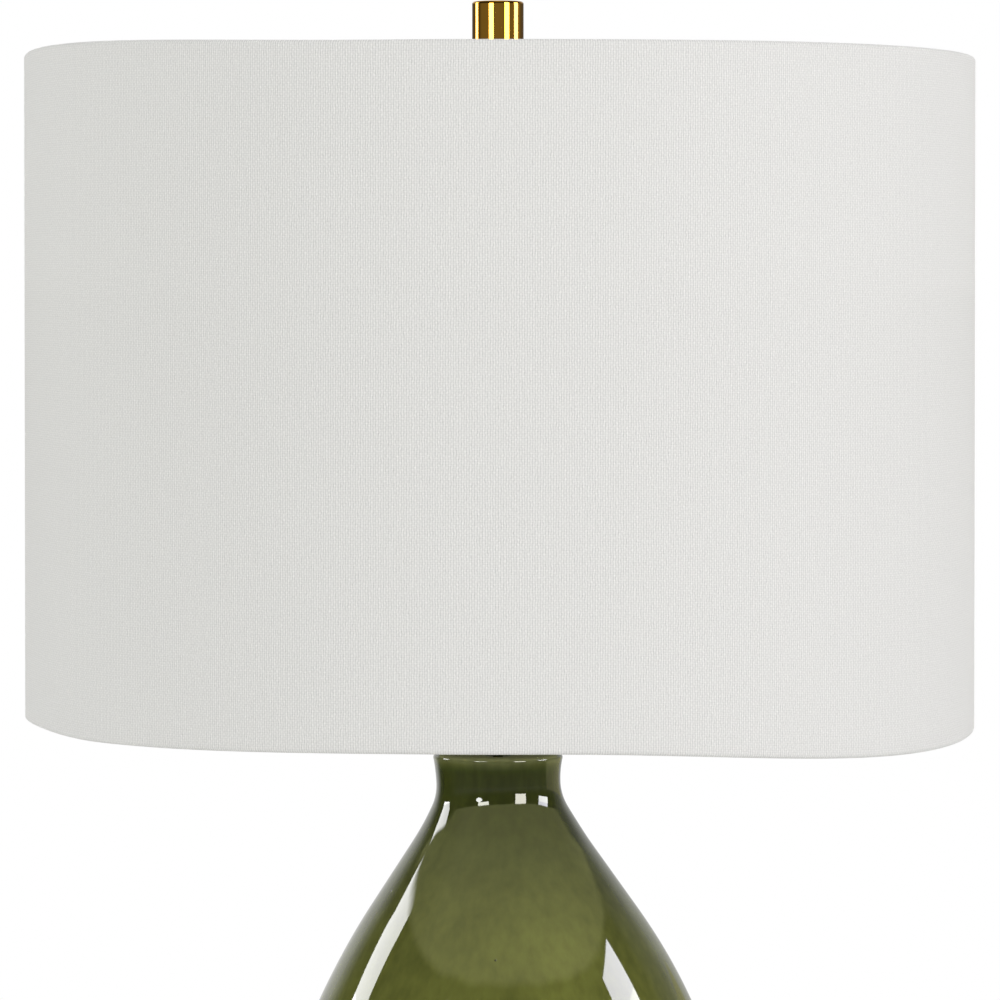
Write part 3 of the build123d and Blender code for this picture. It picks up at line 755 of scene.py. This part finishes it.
gourd_low, gourd_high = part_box("ceramic_body")
foot_z = gourd_low.z / MM
neck_top = gourd_high.z / MM
outside = walk(neck_waist, -90, *below_waist, step_angle=0.5)
inner_steps = [
    (step[0] + copysign(wall, step[1]), step[1]) if isinstance(step, tuple) else step
    for step in below_waist
]
inside = walk((neck_waist[0] - wall, neck_waist[1]), -90, *inner_steps)
rim = walk(neck_waist, 90, *above_waist, step_angle=2.5)
foot_radius = outside[-1].x
gourd_outline = [
    (pipe_hole, foot_z + foot_recess),
    (foot_radius - foot_width, foot_z + foot_recess),
    (foot_radius - foot_width, foot_z),
    (foot_radius, foot_z),
    *reversed(outside),
    *rim[1:],
    (pipe_hole, neck_top),
    (pipe_hole, neck_top - wall),
    (neck_waist[0] - wall, neck_top - wall),
    *inside,
    (pipe_hole, inside[-1].y),
]
gourd = turn_piece("glazed_gourd", gourd_outline, glaze, gourd_segments, **gourd_unevenness)
print("foot radius", round(foot_radius, 2), "mm")

# %% The lean of the belly and the tilt of the lip
# in metres: how far it leans to the right, and between which heights each part comes in
leans = ((0.0012, 0.308, 0.280), (0.0019, 0.295, 0.215))
foot_upright_to = 0.12
lip_lift = 0.00012
lip_dip = 0.0008
lip_radii = (0.014, 0.024)
lip_heights = (0.302, 0.311)


def smooth_step(value, start, end):
    """0 up to the start, 1 from the end on, and a soft rise between them."""
    share = min(1.0, max(0.0, (value - start) / (end - start)))
    return share * share * (3 - 2 * share)


for vertex in gourd.data.vertices:
    x, y, z = vertex.co
    lean = sum(reach * smooth_step(z, start, end) for reach, start, end in leans)
    vertex.co.x += lean * smooth_step(z, gourd_low.z, foot_upright_to)
    on_lip = smooth_step(hypot(x, y), *lip_radii) * smooth_step(z, *lip_heights)
    vertex.co.z += on_lip * (lip_lift + lip_dip * y / hypot(x, y, 1e-6))
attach(gourd, "lamp")
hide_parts("ceramic_body")
print("leans by", round(sum(reach for reach, start, end in leans) / MM, 1), "mm")

# %% [markdown]
# The linen
# A plain weave of slightly uneven linen yarn, about one thread to the millimetre, bonded to a
# stiff sheet. Each yarn goes over one and under the next, so the cloth is a fine checker of
# small humps. The upright yarns lie a good deal higher, and from a step away they read as a
# fine broken upright rib. Each is thick for a few millimetres and then thin again, and the
# whole wavers slightly. The pattern follows the cloth, so it is drawn on a UV map in mm.

# %% Linen: the humps of the weave
warp_pitch = 1.05
weft_pitch = 0.93
yarn_swell = 3.6
# How high each yarn lies, where it is thin and where it is thick
warp_heights = (0.15, 0.95)
weft_heights = (0.02, 0.34)
crossing_height = 0.10
# Yarns waver by a few tenths of their width, slowly along and from one to the next
waver_mm = 2.857143
waver_width = 0.9

linen, tree, shader = new_finish(
    "woven_linen",
    Roughness=0.9,
    Specular_IOR_Level=0.2,
    Sheen_Weight=0.25,
    Sheen_Roughness=0.5,
)
cloth = add(tree, "ShaderNodeUVMap", uv_map="cloth_mm")
waver = add(tree, "ShaderNodeTexNoise", {"Vector": cloth, "Scale": 1 / waver_mm, "Detail": 2.0})
waver = [waver.outputs["Color"], (0.5, 0.5, 0.5)]
waver = add(tree, "ShaderNodeVectorMath", waver, operation="SUBTRACT")
waver = add(tree, "ShaderNodeVectorMath", {0: waver, "Scale": waver_width}, operation="SCALE")
laid = add(tree, "ShaderNodeVectorMath", [cloth, waver])
laid = add(tree, "ShaderNodeSeparateXYZ", [laid]).outputs

# For the warp and the weft: the way across the yarn, its pitch, how the pattern of thick and
# thin is stretched along it, and its heights. A sine changes sign from yarn to yarn, and its
# absolute value is the yarn's round back
mean_ridge = 2 / pi
yarns = (
    ("X", warp_pitch, (1 / warp_pitch, 1 / yarn_swell, 1), warp_heights),
    ("Y", weft_pitch, (1 / yarn_swell, 1 / weft_pitch, 1), weft_heights),
)
waves, humps = [], []
for axis, pitch, stretch, heights in yarns:
    wave = add(tree, "ShaderNodeMath", [laid[axis], pi / pitch], operation="MULTIPLY")
    wave = add(tree, "ShaderNodeMath", [wave], operation="SINE")
    ridge = add(tree, "ShaderNodeMath", [wave], operation="ABSOLUTE")
    ridge = add(tree, "ShaderNodeMath", [ridge, mean_ridge], operation="SUBTRACT")
    yarn = add(tree, "ShaderNodeMapping", {"Vector": cloth, "Scale": stretch})
    swell = add(tree, "ShaderNodeTexNoise", {"Vector": yarn, "Scale": 1.0, "Detail": 1.0})
    height = add(tree, "ShaderNodeMapRange", [swell, 0.3, 0.7, *heights])
    humps.append(add(tree, "ShaderNodeMath", [ridge, height], operation="MULTIPLY"))
    waves.append(wave)
# The two waves agree in sign where the upright yarn is on top
over_under = add(tree, "ShaderNodeMath", waves, operation="MULTIPLY")
weave = add(tree, "ShaderNodeMath", humps)
weave = [over_under, crossing_height, weave]
weave = add(tree, "ShaderNodeMath", weave, operation="MULTIPLY_ADD")
print("threads to the centimetre:", round(10 / warp_pitch, 1), "by", round(10 / weft_pitch, 1))

# %% Linen: its colour and its relief
cloth_tone = "#E0E0DD"
# How much lighter the tops of the weave's humps and how much darker the hollows between them are
# painted: painted shade of the relief, besides its bump
weave_shade_tones = (0.58, 1.42)
fluff_mm = 0.909091
fluff_tones = (0.95, 1.05)
weave_depth_mm = 0.12
weave_share = 0.6

# Painted shade of the weave: the colour follows the height of its humps
weave_shade = add(tree, "ShaderNodeMapRange", [weave, -1, 1, *weave_shade_tones], clamp=False)
fluff = add(tree, "ShaderNodeTexNoise", {"Vector": cloth, "Scale": 1 / fluff_mm, "Detail": 2.0})
fluff_tone = add(tree, "ShaderNodeMapRange", [fluff, 0.25, 0.75, *fluff_tones])
tone = add(tree, "ShaderNodeMath", [weave_shade, fluff_tone], operation="MULTIPLY")
cloth_colour = {0: linear(cloth_tone)[:3], "Scale": tone}
cloth_colour = add(tree, "ShaderNodeVectorMath", cloth_colour, operation="SCALE")
woven = {"Height": weave, "Distance": weave_depth_mm * MM, "Strength": weave_share}
woven = add(tree, "ShaderNodeBump", woven)
fill(tree, shader, {"Base Color": cloth_colour, "Normal": woven})
print("linen nodes", len(tree.nodes))

# %% [markdown]
# The drum shade
# The cloth is one long strip. It is glued round the liner, turned over the two wire rings into
# a hem inside, and its last end laps over the first at the back. So it is made as a strip here
# too: a grid with one row for each point of the path over both rings and one column for each
# step round the drum, and then a real thickness. The hem is snipped open at the three arms of
# the fitter, as a shade maker does it.

# %% The rims are not quite level
shade_aside = 0.8
# middle and half width in degrees from the front, and rise in mm
top_waves = ((-62.0, 50.0, 3.0), (55.0, 55.0, 0.9))
bottom_waves = ((54.0, 50.0, -5.6), (-82.0, 28.0, 3.0), (-40.0, 32.0, -0.7))
# The hub stays true, and the waves are full from this far out, in mm
settling_radii = (14.0, 190.0)

top_ring_low, top_ring_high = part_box("shade_top_ring")
bottom_ring_low, bottom_ring_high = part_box("shade_bottom_ring")
wire_radius = (top_ring_high.z - top_ring_low.z) / 2 / MM
top_ring_z = (top_ring_low.z + top_ring_high.z) / 2 / MM
bottom_ring_z = (bottom_ring_low.z + bottom_ring_high.z) / 2 / MM
ring_radius = top_ring_high.x / MM - wire_radius


def degrees_apart(one, other):
    """The angle between two directions, the short way round."""
    return abs((one - other + 180) % 360 - 180)


def rim_rise(waves, azimuth):
    """The sum of the soft waves of one rim, in mm."""
    total = 0.0
    for middle, half_width, rise in waves:
        off = degrees_apart(azimuth, middle)
        if off < half_width:
            total += rise * cos(pi / 2 * off / half_width) ** 2
    return total


def settled(x, y, z):
    """Where a point of the true drum, in mm, lies on the real one, in metres."""
    azimuth = degrees(atan2(y, x)) + 90
    share = min(1.0, max(0.0, (z - bottom_ring_z) / (top_ring_z - bottom_ring_z)))
    rise = share * rim_rise(top_waves, azimuth) + (1 - share) * rim_rise(bottom_waves, azimuth)
    reach = smooth_step(hypot(x, y), *settling_radii)
    return ((x + shade_aside * reach) * MM, y * MM, (z + rise * reach) * MM)


print("ring wire radius", round(wire_radius, 2))
print("rings at", round(bottom_ring_z, 1), round(top_ring_z, 1))

# %% The cloth's path, in section, from one hem to the other
cloth_thickness = 0.4
hem_depth = 9.0
hem_gap = 0.05
hem_rows = 4
side_rows = 40

shade_low, shade_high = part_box("shade_fabric")
cloth_radius = shade_high.x / MM - cloth_thickness / 2
hem_radius = ring_radius - wire_radius - hem_gap - cloth_thickness / 2
fold_radius = (cloth_radius - hem_radius) / 2
low_fold = shade_low.z / MM + cloth_thickness / 2 + fold_radius
high_fold = shade_high.z / MM - cloth_thickness / 2 - fold_radius
hem_run = hem_depth - cloth_thickness / 2 - fold_radius
side_run = (high_fold - low_fold) / side_rows
path = walk(
    (hem_radius, low_fold + hem_run),
    -90,
    *[hem_run / hem_rows] * hem_rows,
    (fold_radius, 180.0),
    *[side_run] * side_rows,
    (fold_radius, 180.0),
    *[hem_run / hem_rows] * hem_rows,
    step_angle=15.0,
)
travel = [0.0]
for a, b in zip(path, path[1:]):
    travel.append(travel[-1] + (b - a).length)
print("cloth from hem to hem", round(travel[-1], 1), "mm")

# %% The strip round the drum
lap_length = 14.0
lap_rise = 0.45
lap_run_up = 40.0
seam_angle = 96.0
shade_columns = 520
arm_angles = (90.0, 210.0, 330.0)
snip_half_width = 2.6


def path_normal(row):
    """The side of the path that faces away from the ring it goes round."""
    before, after = path[max(row - 1, 0)], path[min(row + 1, len(path) - 1)]
    run = (after - before).normalized()
    return Vector((run.y, -run.x))


around_length = 2 * pi * cloth_radius
strip_length = around_length + lap_length
verts, faces, uvs = [], [], []
for column in range(shade_columns + 1):
    reach = strip_length * column / shade_columns
    angle = radians(seam_angle) + reach / cloth_radius
    rise = lap_rise * smooth_step(reach, around_length - lap_run_up, around_length)
    for row, point in enumerate(path):
        out = point + rise * path_normal(row)
        verts.append(settled(out.x * cos(angle), out.x * sin(angle), out.y))
        uvs.append((reach, travel[row]))
rows = len(path)
top_hem_rows = range(rows - 1 - hem_rows, rows - 1)
for column in range(shade_columns):
    reach = strip_length * (column + 0.5) / shade_columns
    angle = seam_angle + degrees(reach / cloth_radius)
    to_arm = min(degrees_apart(angle, arm) for arm in arm_angles)
    at_arm = radians(to_arm) * cloth_radius < snip_half_width
    for row in range(rows - 1):
        if at_arm and row in top_hem_rows:
            continue
        corner = column * rows + row
        faces.append((corner, corner + rows, corner + rows + 1, corner + 1))
print("strip of", len(faces), "faces")

# %% Drum shade
mesh = bpy.data.meshes.new("linen_shade")
mesh.from_pydata(verts, [], faces)
cloth_map = mesh.uv_layers.new(name="cloth_mm")
for loop in mesh.loops:
    cloth_map.data[loop.index].uv = uvs[loop.vertex_index]
mesh.shade_smooth()
shade = link_object("linen_shade", mesh)
mesh.materials.append(linen)
solidify = shade.modifiers.new("thickness", "SOLIDIFY")
solidify.thickness = cloth_thickness * MM
solidify.offset = 0.0
bake(shade)
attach(shade, "shade")
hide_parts("shade_fabric")
print("linen strip", round(strip_length), "x", round(travel[-1]), "mm")

# %% [markdown]
# The brass
# The plinth, the collar and the finial are solid or spun brass, turned, brushed round and
# lacquered to an aged tone. The brush leaves fine rings, so a highlight runs straight across
# them in a sharp upright bar and stays narrow sideways. The deep red-brown between the bars is
# the colour of brass that reflects a dark room.

# %% Turned brass
brass_tones = ("#C98F2E", "#DDA744")
tarnish_mm = 16.667
brass_gloss = (0.035, 0.05)
brush_ring_mm = 0.4
brush_depth_mm = 0.0006

turned_brass, tree, shader = new_finish("turned_brass", Metallic=1.0, Roughness=0.12)
place = add(tree, "ShaderNodeTexCoord").outputs["Object"]
part = add(tree, "ShaderNodeSeparateXYZ", [place]).outputs
flat_place = add(tree, "ShaderNodeCombineXYZ", [part["X"], part["Y"]])
out = add(tree, "ShaderNodeVectorMath", [flat_place], operation="LENGTH").outputs["Value"]
ring_place = add(tree, "ShaderNodeCombineXYZ", {0: out, 2: part["Z"]})
rings = {"Vector": ring_place, "Scale": 1 / (brush_ring_mm * MM), "Detail": 2.0}
rings = add(tree, "ShaderNodeTexNoise", rings)
tarnish = {"Vector": place, "Scale": 1 / (tarnish_mm * MM), "Detail": 4.0}
tarnish = add(tree, "ShaderNodeTexNoise", tarnish)
metal = {0: tarnish, 6: linear(brass_tones[0]), 7: linear(brass_tones[1])}
metal = add(tree, "ShaderNodeMix", metal, data_type="RGBA").outputs[2]
gloss = add(tree, "ShaderNodeMapRange", [tarnish, 0.3, 0.7, *brass_gloss])
brushed = add(tree, "ShaderNodeBump", {"Height": rings, "Distance": brush_depth_mm * MM})
fill(tree, shader, {"Base Color": metal, "Roughness": gloss, "Normal": brushed})
print("turned brass nodes", len(tree.nodes))

# %% [markdown]
# Finishes that share a pattern
# Most small pieces are metal, moulded or pressed. What separates them from flat colour is
# always the same: patches that are a little rougher or darker, and a fine texture whose grain
# has a real size. One function makes such a finish, with the sizes given in millimetres. Each
# is named for the real material and how it was made, and its numbers come from what such a
# surface measures. Grain that is too fine to see, such as the fibres of felt, a fiftieth of a
# millimetre thick, is drawn as coarse as it needs to show.


# %% Uneven finish
def uneven_finish(name, colours, roughness, sizes_mm, stretch=(1, 1, 1), **sockets):
    """Patches of two colours and two roughnesses, and a fine grain raised by a real height.

    The sizes are those of a patch, of the grain, and the grain's height.
    """
    material, tree, shader = new_finish(name, **sockets)
    patch_size, grain_size, grain_height = (size * MM for size in sizes_mm)
    place = add(tree, "ShaderNodeTexCoord").outputs["Object"]
    stretched = add(tree, "ShaderNodeMapping", {"Vector": place, "Scale": stretch})
    patches = {"Vector": stretched, "Scale": 1 / patch_size, "Detail": 3.0}
    patches = add(tree, "ShaderNodeTexNoise", patches)
    colour = {0: patches, 6: linear(colours[0]), 7: linear(colours[1])}
    colour = add(tree, "ShaderNodeMix", colour, data_type="RGBA").outputs[2]
    rough = add(tree, "ShaderNodeMapRange", [patches, 0.3, 0.7, *roughness])
    grain = {"Vector": stretched, "Scale": 1 / grain_size, "Detail": 2.0}
    grain = add(tree, "ShaderNodeTexNoise", grain)
    bump = add(tree, "ShaderNodeBump", {"Height": grain, "Distance": grain_height})
    fill(tree, shader, {"Base Color": colour, "Roughness": rough, "Normal": bump})
    print(name, "grain", sizes_mm[1], "mm")
    return material


# %% Plated and painted metals
drawn_upwards = (1, 1, 0.3)

# Plated on smooth brass strip and wire: a soft golden sheen, drawn out upwards
satin_brass = uneven_finish(
    "satin_brass_plate",
    ("#B88A3C", "#CFA254"),
    (0.22, 0.34),
    (9.0, 0.35, 0.004),
    drawn_upwards,
    Metallic=1.0,
)
# Barrel plated: a dull blue-grey with small spangles
zinc = uneven_finish(
    "zinc_plated_steel", ("#A9AAA6", "#C4C4BE"), (0.28, 0.42), (3.0, 0.3, 0.006), Metallic=1.0
)
# Rolled and pressed: bright, with a faint grain the way it was drawn
aluminium = uneven_finish(
    "rolled_aluminium",
    ("#C9CACA", "#DEDEDC"),
    (0.20, 0.32),
    (4.0, 0.3, 0.004),
    drawn_upwards,
    Metallic=1.0,
)
# Baked powder: an even white with a low orange peel
powder_coat = uneven_finish(
    "white_powder_coat", ("#E4E4E0", "#EEEEEA"), (0.38, 0.5), (12.0, 0.5, 0.02)
)

# %% Moulded, pressed and cast
# Straight from a fine-grained tool: a soft broad shine
black_plastic = uneven_finish(
    "moulded_black_plastic", ("#141414", "#1E1D1C"), (0.32, 0.46), (5.0, 0.25, 0.012), IOR=1.5
)
# Pressed from a filled powder: brown-black and slightly mottled
phenolic = uneven_finish(
    "moulded_phenolic", ("#1C1714", "#2A221C"), (0.35, 0.5), (2.0, 0.4, 0.015), IOR=1.55
)
# Cut from sheet: matt and a little dusty
rubber = uneven_finish(
    "black_rubber", ("#161616", "#232322"), (0.7, 0.85), (4.0, 0.5, 0.03), IOR=1.5
)
# Pressed fibres: dry, brown and flecked
fibreboard = uneven_finish(
    "pressed_fibreboard", ("#6B5138", "#8A6D4C"), (0.75, 0.9), (1.6, 0.6, 0.05), IOR=1.5
)
# Matted wool: the darkest and softest, with a fuzz at its edges
felt = uneven_finish(
    "pressed_wool_felt",
    ("#121212", "#242423"),
    (0.9, 1.0),
    (1.2, 0.5, 0.15),
    IOR=1.5,
    Sheen_Weight=0.5,
)
# Calendered sheet: a flat, clean white with a satin surface
liner = uneven_finish(
    "white_styrene_sheet", ("#E3E3DF", "#EDEDEA"), (0.42, 0.55), (30.0, 2.0, 0.02), IOR=1.55
)

# %% Glass
# Coated inside: light sinks in and spreads, so it looks milky
frosted = uneven_finish(
    "frosted_bulb_glass",
    ("#EDEDE8", "#F4F4F0"),
    (0.35, 0.48),
    (20.0, 0.5, 0.01),
    IOR=1.5,
    Subsurface_Weight=0.25,
    Subsurface_Scale=0.004,
)
# Poured and fused: black, wet-looking and softly lumpy
black_glass = uneven_finish(
    "fused_black_glass", ("#08080A", "#121216"), (0.05, 0.15), (3.0, 1.0, 0.02), IOR=1.52
)

# %% [markdown]
# Dressing the frame
# Every other piece keeps its own shape from the frame. A table says which finish goes on
# which, and a loop puts it there.

# %% Dress the frame
dressing = {
    turned_brass: ("brass_base", "neck_collar", "finial"),
    satin_brass: (
        "harp_saddle",
        "saddle_nut",
        "socket_cap",
        "socket_shell",
        "terminal_screws",
        "centre_contact",
        "switch_spindle",
        "harp_wire",
        "harp_ferrule_left",
        "harp_ferrule_right",
        "harp_stud",
    ),
    zinc: ("base_washer", "base_nut", "lamp_pipe", "cap_screw", "bulb_contact"),
    aluminium: ("screw_shell", "bulb_screw"),
    powder_coat: ("spider_hub",),
    black_plastic: ("cord_grommet", "switch_knob"),
    phenolic: ("socket_block",),
    rubber: ("foot_gasket", "neck_gasket"),
    fibreboard: ("base_cover", "socket_sleeve"),
    felt: ("base_felt",),
    frosted: ("bulb_glass",),
    black_glass: ("bulb_insulator",),
}
for material, names in dressing.items():
    for name in names:
        mesh = nodes[name].data
        mesh.materials.clear()
        mesh.materials.append(material)
print("dressed", sum(len(names) for names in dressing.values()), "pieces")

# %% [markdown]
# The wires and the liner inside the shade
# Two rings of painted wire hold the drum open, three arms of the same wire run from the upper
# ring to the hub, and a white plastic sheet stiffens the cloth. They follow the same uneven
# rims as the cloth, because the cloth is folded over them. A wire is a line with a round
# section, so a small tree carries a circle along a row of points; the liner is a thin wall
# turned round the axis. Both are then moved to where the real drum has settled.

# %% The wire tree
wire_sides = 16

wire_inputs = {"Wire Radius": "Float", "Sides": "Int", "Material": "Material"}
wire_bending = node_group("bend_wire", wire_inputs)
given = add(wire_bending, "NodeGroupInput").outputs
line = add(wire_bending, "GeometryNodeMeshToCurve", [given["Geometry"]])
section = {"Resolution": given["Sides"], "Radius": given["Wire Radius"]}
section = add(wire_bending, "GeometryNodeCurvePrimitiveCircle", section)
tube = {"Curve": line, "Profile Curve": section, "Fill Caps": True}
tube = add(wire_bending, "GeometryNodeCurveToMesh", tube)
rounded = add(wire_bending, "GeometryNodeSetShadeSmooth", {0: tube, "Shade Smooth": True})
close_group(wire_bending, rounded, given["Material"])


def bend_wire(name, rows, wire_radius_mm, material, closed):
    """Wires from rows of points in metres: one piece, whatever the number of rows."""
    points, edges = [], []
    for row in rows:
        first = len(points)
        points += row
        edges += [(i, i + 1) for i in range(first, len(points) - 1)]
        if closed:
            edges.append((len(points) - 1, first))
    mesh = bpy.data.meshes.new(name)
    mesh.from_pydata(points, edges, [])
    values = {"Wire Radius": wire_radius_mm * MM, "Sides": wire_sides, "Material": material}
    return run_tree(link_object(name, mesh), wire_bending, values)


# %% The lines of the rings and the arms
ring_points = 240
arm_radius = 1.5
arm_into_hub = 0.8
arm_step_angle = 16.1
arm_bend = 12.0
arm_ramp = 18.98
arm_flat = 3.2
arm_points = 12
arm_short_of_ring = 0.6
# The arm's outer run meets the ring's own height: the last fraction comes in between these
arm_lift_radii = (14, 40)


def round_point(radius, angle, z):
    """A point of the settled drum from its radius, in mm, and its angle from +X, in radians."""
    return settled(radius * cos(angle), radius * sin(angle), z)


def ring_row(z):
    return [round_point(ring_radius, 2 * pi * i / ring_points, z) for i in range(ring_points)]


hub_low, hub_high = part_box("spider_hub")
arm_level = (hub_low.z + hub_high.z) / 2 / MM
arm_start = hub_high.x / MM - arm_into_hub
bends = (arm_flat, (arm_bend, arm_step_angle), arm_ramp, (arm_bend, -arm_step_angle))
arm_line = walk((arm_start, arm_level), 0, *bends)
ramp_end = arm_line[-1]
outer_run = ring_radius - arm_short_of_ring - ramp_end.x
arm_line += [ramp_end + Vector((outer_run * i / arm_points, 0)) for i in range(1, arm_points + 1)]
arm_lift = top_ring_z - ramp_end.y
arm_line = [(p.x, p.y + arm_lift * smooth_step(p.x, *arm_lift_radii)) for p in arm_line]
arm_rows = [[round_point(x, radians(arm), z) for x, z in arm_line] for arm in arm_angles]
print("arm from", round(arm_start, 1), "to", round(arm_line[-1][0], 1), "mm")

# %% Rings and arms
wires = {
    "top_ring_wire": ([ring_row(top_ring_z)], wire_radius, True, "shade_top_ring"),
    "bottom_ring_wire": ([ring_row(bottom_ring_z)], wire_radius, True, "shade_bottom_ring"),
    "spider_arm_wires": (arm_rows, arm_radius, False, "spider_arms"),
}
shade_insides = []
for name, (wire_rows, radius_mm, closed, node) in wires.items():
    piece = bend_wire(name, wire_rows, radius_mm, powder_coat, closed)
    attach(piece, "shade")
    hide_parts(node)
    shade_insides.append(piece)

# %% Liner
liner_thickness = 0.4
liner_segments = 320

liner_low, liner_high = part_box("shade_liner")
liner_outer = liner_high.x / MM
liner_inner = liner_outer - liner_thickness
liner_wall = [
    (liner_inner, liner_low.z / MM),
    (liner_outer, liner_low.z / MM),
    (liner_outer, liner_high.z / MM),
    (liner_inner, liner_high.z / MM),
]
liner_piece = turn_piece("styrene_liner", liner_wall, liner, liner_segments)
for vertex in liner_piece.data.vertices:
    vertex.co = settled(*(vertex.co / MM))
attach(liner_piece, "shade")
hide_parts("shade_liner")
shade_insides.append(liner_piece)

# %% [markdown]
# What the mirror rays may see
# The shade stands so close over the gourd that it would hide every panel from the glaze. In
# the photograph the panels show, cut off by the shade's pale underside a little higher up, so
# the shade itself stays out of the mirror rays and the card above takes its place.

# %% Ray visibility
out_of_mirrors = (*shade_insides, shade, nodes["spider_hub"])
for piece in out_of_mirrors:
    piece.visible_glossy = False
print("pieces out of the mirror rays:", len(out_of_mirrors))

# %% View settings and the end
scene.view_settings.view_transform = "Standard"
